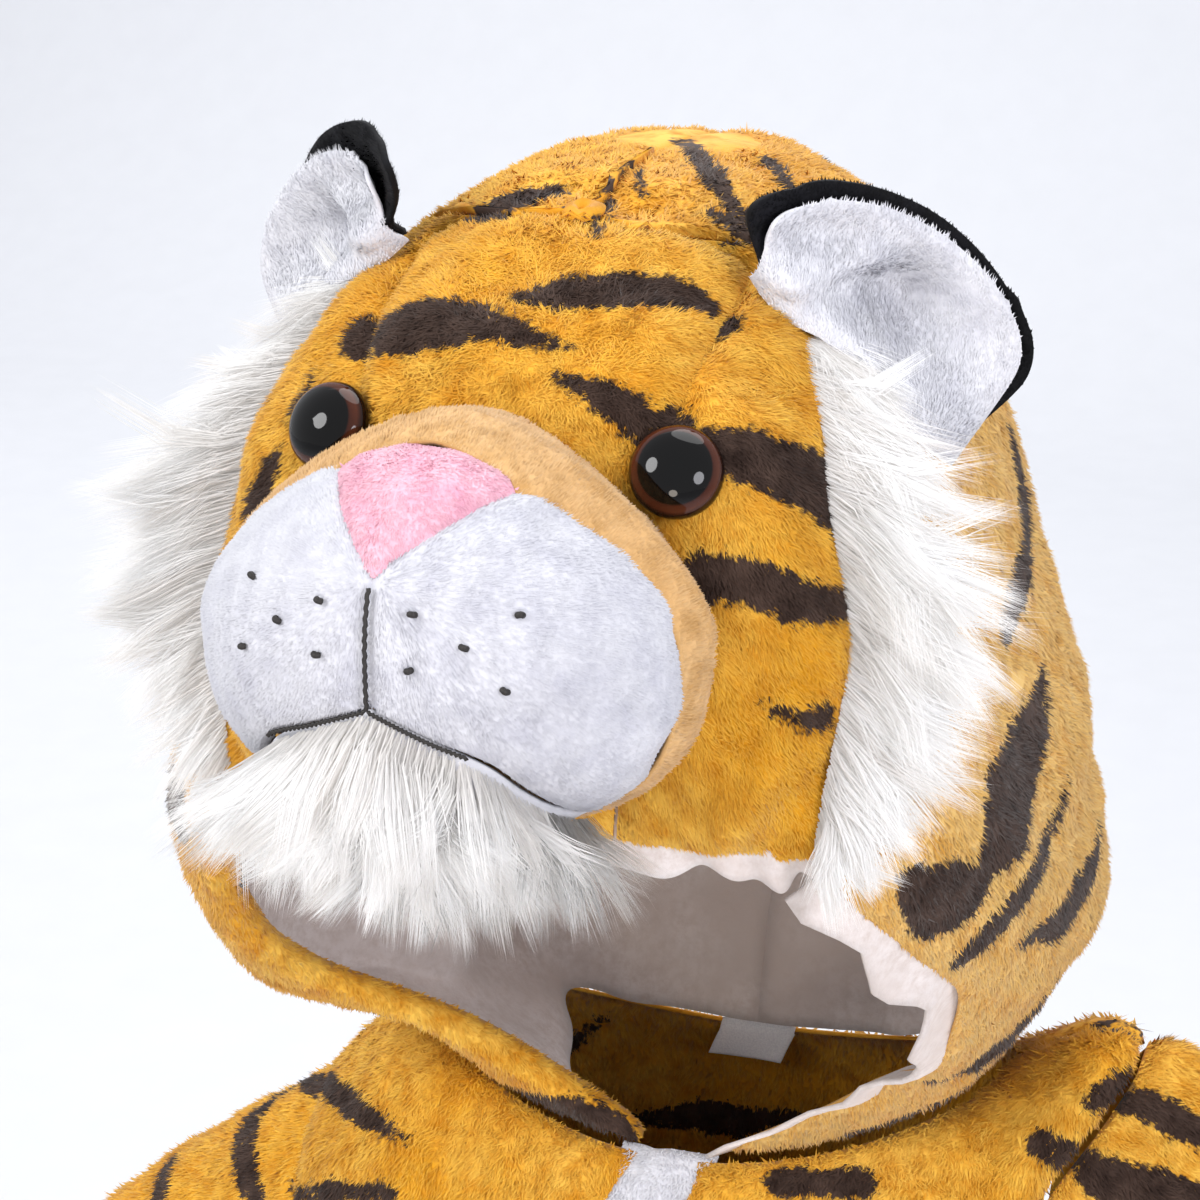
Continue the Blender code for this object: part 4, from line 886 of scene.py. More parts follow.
def cloth(
    name, grid, node, material, slot, inside, thick=1.3, sink=1.0, tuck=1.8, sewn="left right top bottom",
    around=False, stripes=(), puff=0.0, wrinkle=0.6, join=0.5, steady=False,
):
    """A piece of cloth in place of a node: a thin closed wall on the node's form, with tucks at its seams.

    The grid holds places on the node's outer side before they settle. The cloth sinks under it to leave room
    for its pile, turns in by the tuck where it is sewn, and may puff up and wrinkle away from its seams. The
    join is how far it goes on past its edges to meet its neighbours.
    """
    grid = settle(grid)
    rims = [] if around else [(np.s_[:, 0], np.s_[:, 1]), (np.s_[:, -1], np.s_[:, -2])]
    for edge, neighbour in rims + [(0, 1), (-1, -2)]:
        grid[edge] += join * short_unit(grid[edge] - grid[neighbour])
    normals = normals_of(grid, inside, around, steady)
    edges = edge_distances(grid)
    near = np.min([edges[edge] for edge in sewn.split()] + [np.full(grid.shape[:2], 99.0)], axis=0)
    drop = sink + tuck * np.exp(-((near / TUCK_REACH) ** 2)) - puff * soft_step(near, *PUFF_STARTS)
    drop = drop - wrinkle * waves(grid, WRINKLE_SIZE, 5) * soft_step(near, *WRINKLE_STARTS)
    outer = grid - drop[..., None] * normals
    normals = normals_of(outer, inside, around, steady)
    inner = outer - thick * normals
    rows, columns = grid.shape[:2]
    back = rows * columns
    index = np.arange(back).reshape(rows, columns)
    wide = closed(index, around)
    cells = np.stack(corners_of(wide), axis=-1).reshape(-1, 4)
    parts = [cells, back + cells[:, ::-1]]
    rims = [(wide[0], True), (wide[-1], False)]
    if not around:
        rims += [(index[:, 0], False), (index[:, -1], True)]
    for line, turned in rims:
        edge = np.stack([line[:-1], line[1:], back + line[1:], back + line[:-1]], axis=-1)
        parts.append(edge[:, ::-1] if turned else edge)
    faces = np.concatenate(parts)
    if np.cross(outer[1, 1] - outer[0, 0], outer[1, 0] - outer[0, 1]) @ normals[0, 0] > 0:
        faces = faces[:, ::-1]
    points = np.concatenate([outer.reshape(-1, 3), inner.reshape(-1, 3)])
    # painted shade: the cloth darker within a few millimetres of its sewn edges, and on its inner side
    shade = np.concatenate([0.55 + 0.45 * soft_step(near.ravel(), 0, 6), np.full(back, 0.6)])
    marks = {"print": np.tile(stripe_marks(outer, stripes), 2), "tip": 0.3, "shade": shade}
    obj = dress(add_mesh(name, points, faces, material, marks), node)
    return {
        "object": obj, "points": outer, "normals": normals, "around": around, "near": near, "slot": slot,
        "material": material, "stripes": stripes, "thick": thick,
    }


def pile(piece, kind, nap=(0, 0.25, -1), name=None, inner=False, keep=None):
    """The cloth's pile: a blade of fibre for each tuft, leaning along the nap and carrying the print."""
    density, length, width, lean, clump, calm = PILES[kind]
    points, normals, around = piece["points"], piece["normals"], piece["around"]
    if inner:
        points, normals = points - piece["thick"] * normals, -normals
    points, normals, near = (closed(values, around) for values in (points, normals, piece["near"]))
    corners = corners_of(points)
    areas = cell_areas(corners)
    if keep is not None:
        areas = areas * keep(((corners[0] + corners[2]) / 2).reshape(-1, 3))
    count = int(areas.sum() * density)
    cell, _, _, weights = sown_over(areas, count, RANDOM)
    root, normal = at_places(points, cell, weights), unit(at_places(normals, cell, weights))
    comb = np.array(nap(root), float) if callable(nap) else np.tile(np.array(nap, float), (count, 1))
    comb = comb + clump * np.stack([waves(root, 13, s) for s in (11, 12, 13)], axis=-1)
    comb = comb + 0.28 * RANDOM.normal(size=(count, 3))
    comb = unit(comb - (comb * normal).sum(axis=1, keepdims=True) * normal)
    angle = np.radians(lean + 9 * waves(root, 9, 14) + 7 * RANDOM.normal(size=count))[:, None]
    way = normal * np.cos(angle) + comb * np.sin(angle)
    side = unit(np.cross(way, normal))
    seam = at_places(near, cell, weights, 1)
    size = length * RANDOM.uniform(0.7, 1.15, (count, 1)) * (1 + 0.12 * waves(root, 7, 15))[:, None]
    size = size * (0.5 + 0.5 * soft_step(seam, 0, 4))
    wide = width * RANDOM.uniform(0.7, 1.25, (count, 1)) / 2
    tips = root + way * size
    vertices = np.stack([root - side * wide, root + side * wide, tips], axis=1).reshape(-1, 3)
    faces = np.arange(3 * count).reshape(-1, 3)
    facing = np.cross(vertices[1::3] - vertices[::3], vertices[2::3] - vertices[::3])
    wrong = (facing * normal).sum(axis=1) < 0
    faces[wrong] = faces[wrong][:, ::-1]
    printed = root
    if piece["stripes"]:
        printed = root + 0.4 * RANDOM.normal(size=root.shape) + 0.5 * length * np.sin(angle) * comb
    tilt = unit(normal + 1.6 * calm * comb * np.sin(angle) + calm * RANDOM.normal(size=normal.shape))
    # painted shade: blades darker at random and in 10 mm patches, for the pile's uneven shine
    shade = np.clip(0.8 + 0.25 * waves(root, 10, 16) + 0.8 * calm * RANDOM.normal(size=count), 0, 1)
    marks = {
        "print": np.repeat(stripe_marks(printed, piece["stripes"]), 3),
        "tip": np.tile([0.1, 0.1, 1.0], count),
        "shade": np.repeat(shade, 3),
    }
    label = name or piece["object"].name.replace("_cloth", "") + "_pile"
    obj = add_mesh(label, vertices, faces, piece["material"], marks, np.repeat(tilt, 3, axis=0))
    return dress(obj)


def strands(name, roots, normals, combs, lengths, width, seed, clumps):
    """Long fur: tapering ribbons that leave the backing, bend into their comb and gather in clumps."""
    source = np.random.default_rng(seed)
    count = len(roots)
    chosen = source.choice(count, clumps, replace=False)
    own = np.empty(count, int)
    for start in range(0, count, 2000):
        part = roots[start : start + 2000]
        gaps = ((part[:, None] - roots[chosen][None]) ** 2).sum(axis=-1)
        own[start : start + 2000] = gaps.argmin(axis=1)
    combs = unit(combs + 0.16 * source.normal(size=combs.shape))
    clump_comb = unit(combs[chosen] + 0.34 * source.normal(size=(clumps, 3)))
    levels = np.array(STRAND_LEVELS)
    lengths = lengths * source.uniform(0.62, 1.05, count)

    def path(root, normal, comb, length, t):
        rise = STRAND_STAND * normal * (t - 0.55 * t * t) * 0.9
        return root + length[:, None] * (rise + comb * (0.35 * t + 0.6 * t * t))

    rings = []
    middle = roots[chosen]
    for t in levels:
        place = path(roots, normals, combs, lengths, t)
        lead = path(middle, normals[chosen], clump_comb, lengths[chosen], t)[own]
        pull = STRAND_GATHER * t**1.3
        place = (1 - pull) * place + pull * (lead + (roots - middle[own]) * (1 - 0.6 * t))
        curl = 1.6 * t * np.stack([waves(roots + 40 * t, 22, seed + k) for k in range(3)], axis=-1)
        rings.append(place + curl)
    faced = unit(np.cross(rings[-1] - rings[0], normals))
    points = []
    for t, ring in zip(levels[:-1], rings[:-1]):
        half = width * (1 - 0.75 * t) / 2
        points += [ring - faced * half, ring + faced * half]
    points.append(rings[-1])
    points = np.stack(points, axis=1)
    order = ((0, 1, 3), (0, 3, 2), (2, 3, 5), (2, 5, 4), (4, 5, 6))
    faces = (np.arange(count)[:, None, None] * 7 + np.array(order)[None]).reshape(-1, 3)
    away = unit(rings[-1] - rings[0])
    soft = unit(0.6 * normals + 0.2 * away + (0, -0.4, 0.45) + 0.25 * source.normal(size=normals.shape))
    tone = np.clip(0.7 + 0.35 * source.normal(size=clumps), 0, 1)[own]
    tone = np.clip(tone + 0.12 * source.normal(size=count), 0, 1)
    tips = np.tile(np.repeat(levels, 2)[:7], count)
    marks = {"tip": tips, "shade": np.repeat(tone, 7)}
    obj = add_mesh(name, points.reshape(-1, 3), faces, MATERIALS["fur"], marks, np.repeat(soft, 7, axis=0))
    return dress(obj)


def thread(name, line, radius, sides=6):
    """A black thread along a line of settled points."""
    line = np.array(line, float)
    ahead = unit(np.gradient(line, axis=0))
    across = unit(np.cross(ahead, (0.3, -0.9, 0.2)))
    other = np.cross(ahead, across)
    turns = np.linspace(0, math.tau, sides, endpoint=False)
    rings = [line + radius * (across * math.cos(t) + other * math.sin(t)) for t in turns]
    points = np.stack(rings, axis=1).reshape(-1, 3)
    faces = []
    for j in range(len(line) - 1):
        for k in range(sides):
            m = (k + 1) % sides
            faces.append((j * sides + k, j * sides + m, (j + 1) * sides + m, (j + 1) * sides + k))
    dress(add_mesh(name, points, faces, MATERIALS["thread"]))


def dome(name, place, axis, profile, material, node, count):
    """A turned piece from a profile of (radius, height) pairs, rim first, standing on a settled place."""
    across = unit(np.cross(axis, (0, 0, 1)))
    upward = np.cross(across, axis)
    turns = np.linspace(0, math.tau, count, endpoint=False)
    rays = across * np.cos(turns)[:, None] + upward * np.sin(turns)[:, None]
    widest = max(radius for radius, _ in profile)
    points, tips = [], []
    for radius, high in profile:
        points.append(place + axis * high + rays * max(radius, 0.02))
        tips += [radius / widest] * count
    points = np.concatenate(points)
    faces = []
    for j in range(len(profile) - 1):
        for k in range(count):
            m = (k + 1) % count
            faces.append((j * count + k, (j + 1) * count + k, (j + 1) * count + m, j * count + m))
    dress(add_mesh(name, points, faces, material, {"tip": np.array(tips)}), node)


def finer(values, count):
    """The same run of values with this many steps between neighbours."""
    values = np.asarray(values, float)
    parts = [np.linspace(a, b, count, endpoint=False) for a, b in zip(values[:-1], values[1:])]
    return np.concatenate([*parts, values[-1:]])


def front_stripes(*kinds):
    """The stripes of these kinds, as wide as they are on the cloth."""
    chosen = [stripe for stripe in STRIPES if stripe[0] in kinds]
    return [(spine, [WIDEN[kind] * half for half in halves]) for kind, spine, halves in chosen]


def mirror_stripes(*kinds):
    """The stripes of these kinds laid on the other side of the head, 3 mm lower."""
    return [([(-x, y, z - 3) for x, y, z in spine], halves) for spine, halves in front_stripes(*kinds)]


def cloth_cut(piece):
    """The flat width, length and area of a piece of cloth, in metres, from its rows and columns."""
    points, around = piece["points"], piece["around"]
    edges = edge_distances(points)
    wide, long = edges["left"][:, -1].max(), edges["top"][-1].max()
    if around:
        wide += np.linalg.norm(points[:, 0] - points[:, -1], axis=-1).max()
    area = cell_areas(corners_of(closed(points, around))).sum() / 1e6
    wide, long = wide / 1000, long / 1000
    if area > 0.98 * wide * long:
        wide = area / (0.98 * long)
    return (float(wide), float(long)), float(max(area, 0.31 * wide * long))


def state(piece, held, *extra):
    """Works out a piece of cloth's flat size and area and keeps neither; the pile or fur passed is not used.
    """
    flat, area = cloth_cut(piece)


def turn_past(turns, heights, distance):
    """The turns moved along the hood's surface by a distance towards the front."""
    moved = []
    for turn, height, step in zip(turns, heights, np.broadcast_to(distance, len(turns))):
        a, b = hood_point(np.array(turn), height, True), hood_point(np.array(turn + 0.01), height, True)
        moved.append(turn - 0.01 * step / max(float(np.linalg.norm(b - a)), 0.05))
    return np.maximum(moved, 0.01)


def make_hood():
    heights = finer(HOOD["height"][:-1] + (CROWN,), 8)
    for name, side in SIDES:
        back = np.full(len(heights), math.pi)
        grid = hood_patch(heights, back, edge_turn(heights) + seam_gap(heights), 64)[0]
        grid = creased(grid, HOOD_CREASES)
        if side < 0:
            grid = np.concatenate([grid, rolled_rim(heights)], axis=1)
        grid = mirrored(grid, side)
        laid = settle(grid)
        stripes = front_stripes("crown", "side", "rim") + (mirror_stripes("side") if side < 0 else [])
        stripes = on_cloth(stripes, laid)
        stripes += sown_stripes(
            laid, 3 + side, spacing=40, half=5.5, low=0.02, high=0.86, span=(0.22, 0.46), one_edge=True
        )
        # The +X side takes the copy with painted sheen low down.
        material = MATERIALS["tiger_side" if side > 0 else "tiger"]
        piece = cloth(
            f"hood_side_{name}_cloth", grid, f"hood_side_{name}", material, "tiger_plush", INSIDE_HOOD,
            stripes=stripes, wrinkle=0.8, steady=True,
        )
        state(piece, "stretched", pile(piece, "hood", nap=(0, 0.4, -1), keep=crown_and_front))


def crown_and_front(place):
    """How dense the hood's pile is: full in front, less behind, none where the panels meet at the crown."""
    apex = np.linalg.norm(place - (0, -42, 352), axis=1)
    return (0.35 + 0.65 * soft_step(-place[:, 1], -45, 5)) * (apex > 24)


def rolled_rim(heights):
    """The hood's front edge below the face, turned in over itself, as more columns."""
    hold = 1 - soft_step(heights, FACE_LOW - 25, FACE_LOW - 4)
    columns = []
    for ahead, deep in RIM_ROLL:
        turns = turn_past(edge_turn(heights) + seam_gap(heights), heights, ahead * hold)
        rows = []
        for turn, height, share in zip(turns, heights, hold):
            out = hood_normals(np.array([turn]), height)[0]
            rows.append(hood_point(np.array(turn), height, True) - deep * share * out)
        columns.append(rows)
    return np.array(columns).transpose(1, 0, 2)


def make_lining():
    heights = finer(HOOD["height"][:-1] + (CROWN,), 6)
    low = heights[heights <= 343]
    for name, side in SIDES:
        edge = edge_turn(low) + seam_gap(low)
        ripple = 13 + 3.4 * np.sin(low / 6.5 + 1) + 0.8 * np.sin(low / 3.1) if side > 0 else -3.0 + 0 * low
        hold = 1 - soft_step(low, FACE_LOW - 14, FACE_LOW)
        past = turn_past(edge, low, ripple * (0.25 + 0.75 * soft_step(low, 20, 75)) * hold - 7 * (1 - hold))
        grid, out = hood_patch(low, np.full(len(low), math.pi), past, 56, LINING_IN)
        if side > 0:
            flare = 1 - soft_step(low, FACE_LOW - 20, FACE_LOW - 4)
            for column, lift in ((-4, 0.4), (-3, 1.6), (-2, 3.4), (-1, 5.2)):
                grid[:, column] += lift * flare[:, None] * out[:, column]
        grid = creased(mirrored(grid, side), LINING_FOLDS[name])
        piece = cloth(
            f"hood_lining_{name}_cloth", grid, f"hood_lining_{name}", MATERIALS["fleece"], "lining_fleece",
            INSIDE_HOOD, sink=0, tuck=0, thick=1.6, wrinkle=1.2, sewn="left bottom",
        )
        state(piece, "stretched")


def make_turned_edge():
    """The lining's hem, which turns out in waves under the face."""
    across = np.linspace(-1, 1, 150)
    reach = float(edge_turn(np.array([FACE_LOW + 1.0]))[0])
    rows = []
    for share in np.linspace(0, 1, 9):
        row = []
        for u in across:
            drop = 8.5 + 2.6 * math.sin(13 * u) + 1.4 * math.sin(29 * u + 1)
            height = FACE_LOW + 10 - (10 + drop) * share
            place = hood_point(np.array(abs(u) * reach), height, True)
            out = hood_normals(np.array([abs(u) * reach]), height)[0]
            deep = 6.4 - 3.2 * share + 1.2 * share * math.sin(27 * u)
            place = (place - deep * out) * np.array([1 if u > 0 else -1, 1, 1])
            row.append(place)
        rows.append(row)
    piece = cloth(
        "face_lining_hem", np.array(rows), None, MATERIALS["fleece"], "lining_fleece", INSIDE_FACE, sink=0,
        tuck=0, thick=1.6, wrinkle=0.3, sewn="top",
    )
    state(piece, "stretched")


def topped(grid, dips):
    """The grid with two more rows at its top, 3 and 6 mm on, which dip under the neighbour."""
    up = short_unit(grid[-1] - grid[-6])
    more = [grid[-1] + ahead * up - (0, 0, dip) for ahead, dip in zip((3, 6), dips)]
    return np.concatenate([grid, more], axis=0)


def make_face():
    heights = finer([z for z in HOOD["height"] if FACE_LOW <= z < SEAM_TOP] + [SEAM_TOP - 1], 12)
    seam = read(FACE_SEAM, "height", "out", heights)
    turns = np.array([float(turn_at(x, z)) for x, z in zip(seam, heights)])
    gap = seam_gap(heights)
    half = hood_patch(heights, np.zeros(len(heights)), turns - gap, 22)[0]
    half[:, 0, 0] = 0
    grid = np.concatenate([mirrored(half[:, :0:-1], -1), half], axis=1)
    grid = topped(grid, (1.2, 4.5))
    piece = cloth(
        "face_forehead_cloth", grid, "face_forehead", MATERIALS["tiger"], "tiger_plush", INSIDE_FACE,
        stripes=on_cloth(front_stripes(*FACE_KINDS), settle(grid)), wrinkle=1.1, tuck=3.0, puff=1.4,
    )
    nap = lambda root: np.stack([0.4 * root[:, 0] / 40, 0.5 + 0 * root[:, 0], -0.9 + 0 * root[:, 0]], axis=-1)
    state(piece, "stretched", pile(piece, "face", nap=nap))
    rows = heights <= 343
    low = heights[rows]
    for name, side in SIDES:
        start = turns[rows] + gap[rows]
        grid = hood_patch(low, start, np.maximum(edge_turn(low) - gap[rows], start + 0.01), 34)[0]
        grid = creased(topped(grid, (1.5, 4.5)), [{**fold, "way": (0.3, -0.95, 0)} for fold in CHEEK_FOLDS])
        grid = mirrored(grid, side)
        piece = cloth(
            f"face_cheek_{name}_cloth", grid, f"face_cheek_{name}", MATERIALS["tiger"], "tiger_plush",
            INSIDE_FACE,
            stripes=on_cloth(front_stripes(*FACE_KINDS), settle(grid)), wrinkle=1.2, tuck=3.0, puff=1.2,
        )
        state(piece, "stretched", pile(piece, "face", nap=(0.5 * side, 0.2, -0.9)))


def make_muzzle():
    along = np.linspace(0, 1, 64)
    lower = [read(CHEEK_LOWER, "along", axis, along) for axis in "xz"]
    upper = [read(CHEEK_UPPER, "along", axis, along) for axis in "xz"]
    rows = [muzzle_point(*((1 - t) * np.array(lower) + t * np.array(upper))) for t in np.linspace(0, 1, 40)]
    rows.append(rows[-1] + 3.8 * short_unit(rows[-1] - rows[-4]) + (0, 1.6, 0))
    rows.insert(0, rows[0] + 1.6 * short_unit(rows[0] - rows[3]) + (0, 3.0, 0))
    away = lambda root: root - np.array((0, -285, 268)) + np.array((0, 0, -14))
    for name, side in SIDES:
        grid = mirrored(np.array(rows), side)
        piece = cloth(
            f"muzzle_cheek_{name}_cloth", grid, f"muzzle_cheek_{name}", MATERIALS["muzzle"], "white_plush",
            INSIDE_MUZZLE, sink=0.3, tuck=1.3, wrinkle=0.2, puff=0.8, join=0.9,
        )
        state(piece, "stretched", pile(piece, "muzzle", nap=away))
    out = np.linspace(-24.4, 24.4, 56)
    low, up = read(NOSE, "out", "low", np.abs(out)), read(NOSE, "out", "up", np.abs(out))
    rows = [muzzle_point(out, low + (up - low) * t) for t in np.linspace(0, 1, 26)]
    rows.append(rows[-1] + 4.2 * short_unit(rows[-1] - rows[-3]) + (0, 1.6, -0.6))
    piece = cloth(
        "muzzle_nose_cloth", np.array(rows), "muzzle_nose", MATERIALS["pink"], "pink_plush", INSIDE_MUZZLE,
        sink=0.3, tuck=1.2, wrinkle=0.15, puff=1.8, join=0.8,
    )
    state(piece, "stretched", pile(piece, "nose", nap=(0, 0.2, -1)))
    turns = np.radians(np.arange(-90, 270, 2.5))
    folded = 90 - np.abs(90 - np.degrees(turns))
    inner = read(BAND_INNER, "turn", "share", folded)
    rows = [muzzle_ring(turns, inner + (MUZZLE_EDGE - inner) * t) for t in np.linspace(0, 1, 9)]
    narrow = (MUZZLE_FOOT, 1, MUZZLE_FOOT)
    foot = face_behind(rows[-1] * narrow + (0, 0, (1 - MUZZLE_FOOT) * MUZZLE_MIDDLE), SEAM + 1.1)
    waist = rows[-1] * 0.55 + foot * 0.45
    rows += [rows[8] + (waist - rows[8]) * t for t in (0.33, 0.66)]
    rows += [waist + (foot - waist) * t for t in np.linspace(0, 1, 8)]
    piece = cloth(
        "muzzle_band_cloth", np.array(rows), "muzzle_band", MATERIALS["tan"], "tan_plush", INSIDE_MUZZLE,
        sink=0.3, tuck=1.1, wrinkle=0.25, around=True, sewn="top bottom", join=0.9,
    )
    back = lambda root: (root - np.array((0, -320, MUZZLE_MIDDLE))) * (0.6, 1, 0.6)
    state(piece, "stretched", pile(piece, "band", nap=back))


def muzzle_surface(x, z, lift=0.0):
    """A settled place on the muzzle's plush, with its outward direction."""
    corners = [muzzle_point(np.array(x + a), np.array(z + b)) for a, b in ((1, 0), (-1, 0), (0, 1), (0, -1))]
    out = unit(np.cross(corners[0] - corners[1], corners[2] - corners[3]))
    out = out if out[1] < 0 else -out
    return settle(muzzle_point(np.array(x), np.array(z)) + lift * out), out


def make_stitching():
    """The black stitched mouth, the line up to the nose, and the knots that stand for whisker roots."""
    line = [muzzle_surface(0.0, z, 0.3)[0] for z in np.linspace(277, 246, 40)]
    line = np.array(line)
    line[:, 0] += 0.2 * np.sin(np.arange(40) * 1.9)
    thread("philtrum_thread", line, 0.6)
    for name, side in SIDES:
        along = np.linspace(0, 0.5 if side > 0 else 0.62, 70)
        x, z = (read(CHEEK_LOWER, "along", axis, along) for axis in "xz")
        line = [muzzle_surface(side * (a + 0.2), b - 0.2, 0.5)[0] for a, b in zip(x, z)]
        line = np.array(line)
        line[:, 2] += 0.4 * np.sin(np.arange(70) * 2.1)
        thread(f"mouth_thread_{name}", line, 0.5)
    for name, side, places in KNOTS:
        for number, (x, z) in enumerate(places, 1):
            place, out = muzzle_surface(x, z, 0.9)
            turn = 0.5 * math.sin(3 * x + z)
            across = unit(np.cross(out, (0, 0, 1))) * math.cos(turn) + np.array((0, 0, 1)) * math.sin(turn)
            line = [place + across * t * 0.75 + out * (0.9 - 0.9 * t * t) for t in np.linspace(-1, 1, 7)]
            thread(f"whisker_knot_{name}_{number}", line, 0.85, 8)


def scattered(grid, count, seed):
    """Places spread evenly over a settled grid, their normals, and their shares across and down it."""
    source = np.random.default_rng(seed)
    normals = normals_of(grid, grid.mean(axis=(0, 1)) + np.array((0, 60, 0)))
    cell, u, v, weights = sown_over(cell_areas(corners_of(grid)), count, source)
    root, normal = at_places(grid, cell, weights), unit(at_places(normals, cell, weights))
    columns = grid.shape[1] - 1
    across = (cell % columns + u[:, 0]) / columns
    down = (cell // columns + v[:, 0]) / (grid.shape[0] - 1)
    return root, normal, across, down


def make_beard():
    grid = np.array(beard_rows(58, 12))
    backing = cloth(
        "chin_beard_backing", grid, "chin_beard", MATERIALS["white"], "long_fur", INSIDE_MUZZLE, sink=0.4,
        tuck=1.2,
    )
    root, normal, across, down = scattered(settle(grid), 13500, 41)
    out = 2 * across - 1
    if (root[:, 0] * out).sum() < 0:
        out = -out
    comb = unit(np.stack([1.25 * out, -0.7 + 0.45 * down, -0.85 + 0.4 * out**2], axis=-1))
    lengths = BEARD_LENGTH * (0.7 - 0.2 * down)
    fur = strands("chin_beard_fur", root, normal, comb, lengths, 0.44, 42, 320)
    state(backing, "stretched", fur)


def beard_rows(columns, rows):
    out = np.linspace(-BEARD_HALF, BEARD_HALF, columns)
    along = np.linspace(0, 1, 60)
    line = [read(CHEEK_LOWER, "along", axis, along) for axis in "xz"]
    top = np.interp(np.abs(out), *line) - 0.8 - 4 * (out / BEARD_HALF) ** 2
    wide = (np.abs(out) / MUZZLE_WIDE) ** 2.5
    low = MUZZLE_MIDDLE - MUZZLE_DOWN * (BEARD_EDGE**2.5 - wide) ** 0.4
    return [muzzle_point(out, top + (low - top) * t) for t in np.linspace(0, 1, rows)]


def make_ruffs():
    for name, side in SIDES:
        ruff = RUFFS[name]
        heights = np.linspace(RUFF_LOW, ruff["top"], 44)
        edge = edge_turn(heights)
        start = edge - ruff["ahead"] - 0.004 * np.maximum(heights - 298, 0)
        wide = RUFF_WIDE / read(HOOD, "height", "width", heights)
        grid = mirrored(hood_patch(heights, start, start + wide, 8, 1.0)[0], side)
        below = hood_patch(heights, edge + 0.03, edge + 0.07 + wide, 8, -(PLUSH + SEAM))[0]
        backing = cloth(
            f"ruff_{name}_backing", mirrored(below, side), f"ruff_{name}", MATERIALS["white"], "long_fur",
            INSIDE_RUFF, sink=5.2, tuck=0.0, thick=0.6,
        )
        root, normal, across, down = scattered(settle(grid), 10500, 51 + side)
        outward = ((root - np.array(INSIDE_RUFF)) * normal).sum(axis=1)[:, None] > 0
        normal = np.where(outward, normal, -normal)
        least, more = ruff["sweep"]
        sweep = np.interp(down, (0, 0.25, 0.6, 1), (0.38, 0.62, 0.8, 0.6))
        sweep = sweep * (least + more * soft_step(across, -0.1, 0.5))
        drop = np.interp(down, (0, 0.25, 0.6, 1), (0.8, 0.62, 0.5, 0.95))
        comb = np.stack([sweep * side, 0.1 + 0.25 * across, -drop], axis=-1)
        lengths = RUFF_LENGTH * np.interp(down, (0, 0.2, 0.45, 0.8, 1), (0.5, 0.75, 1.04, 1.0, 0.72))
        lengths = lengths * (1 - 0.1 * across)
        fur = strands(f"ruff_{name}_fur", root, normal, unit(comb), lengths, 0.42, 52 + side, 280)
        state(backing, "stretched", fur)


def make_ears():
    for name, side in SIDES:
        behind = np.array([-100, 900, 900])
        inner = ear_on_hood(ear_grid(30, 41), behind)
        rows, columns = np.linspace(0, 1, inner.shape[0]), np.linspace(-1, 1, inner.shape[1])
        sides = np.abs(columns)[None] ** 6 * np.minimum(2 * rows, 1)[:, None]
        rim = np.maximum(sides, rows[:, None] ** 6)[..., None]
        outward = unit(inner - inner[12:18].mean(axis=(0, 1)))
        out = ear_normals(inner, behind)
        reach = np.interp(
            columns, (-1, -0.3, 0.3, 1), (1.5, 1.2, 1, 0.9) if side > 0 else (3.0, 1.6, 0.2, 0.1),
        )
        back = inner - (PLUSH + EAR_GAP) * out + (EAR_RIM + 0.8) * rim * outward * reach[None, :, None]
        behind = behind * (side, 1, 1)
        inner[0] -= 3.0 * unit(EAR_UP) * (1 - columns**4)[:, None]
        white = cloth(
            f"ear_inner_{name}_cloth", mirrored(inner, side), f"ear_inner_{name}", MATERIALS["white"],
            "white_plush",
            behind, sink=0.3, tuck=0.6, wrinkle=0.5, thick=1.4, sewn="left right top",
        )
        black = cloth(
            f"ear_back_{name}_cloth", mirrored(back, side), f"ear_back_{name}", MATERIALS["black"],
            "black_plush",
            behind, sink=0.0, tuck=0.0, wrinkle=0.2, thick=1.8,
        )
        comb = (0.1 * side, 0.1, 1)
        state(white, "stretched", pile(white, "ear", nap=comb))
        front = pile(black, "ear rim", nap=comb, name=f"ear_back_{name}_front_pile")
        rear = pile(black, "ear back", nap=comb, name=f"ear_back_{name}_pile", inner=True)
        state(black, "stretched", front, rear)


def ear_grid(rows_count, columns_count):
    """The ear's white side: rows from the foot on the hood to the rim, cupped, the front edge rolled."""
    up, forward = unit(EAR_UP), unit(EAR_FORWARD)
    across = unit(np.cross(up, forward))
    share = np.linspace(-1, 1, columns_count)
    foot = (share + 1) / 2
    heights, turns = read(EAR_FOOT, "along", "height", foot), np.radians(
        read(EAR_FOOT, "along", "turn", foot)
    )
    feet = np.array([hood_point(turn, z, True) for turn, z in zip(turns, heights)]) + up * EAR_STAND
    middle = feet.mean(axis=0)
    rows = []
    for t in np.linspace(0, 1, rows_count):
        level = 2 * t - 1
        narrow = math.sqrt(1 - max(level, 0) ** 2 / 2)
        droop = np.sqrt(1 - share**2 / 2) if level > 0 else 1
        high = EAR_HIGH * (1 + level * droop) / 2
        wide = EAR_HALF * share * narrow
        swell = math.sin(math.pi * min(t, 0.97)) ** 1.7
        depth = swell * (2 * EAR_ROLL * np.clip(-share - 0.45, 0, 1) ** 1.5 - EAR_CUP * (1 - share**2))
        flat = middle + across * wide[:, None] + up * np.broadcast_to(high, share.shape)[:, None]
        hold = (1 - t) ** 2
        start = middle + across * (EAR_HALF * share)[:, None]
        rows.append(flat + forward * depth[:, None] + hold * (feet - start))
        rows[-1] += forward * ear_swell(share, t)[:, None]
    return np.array(rows)


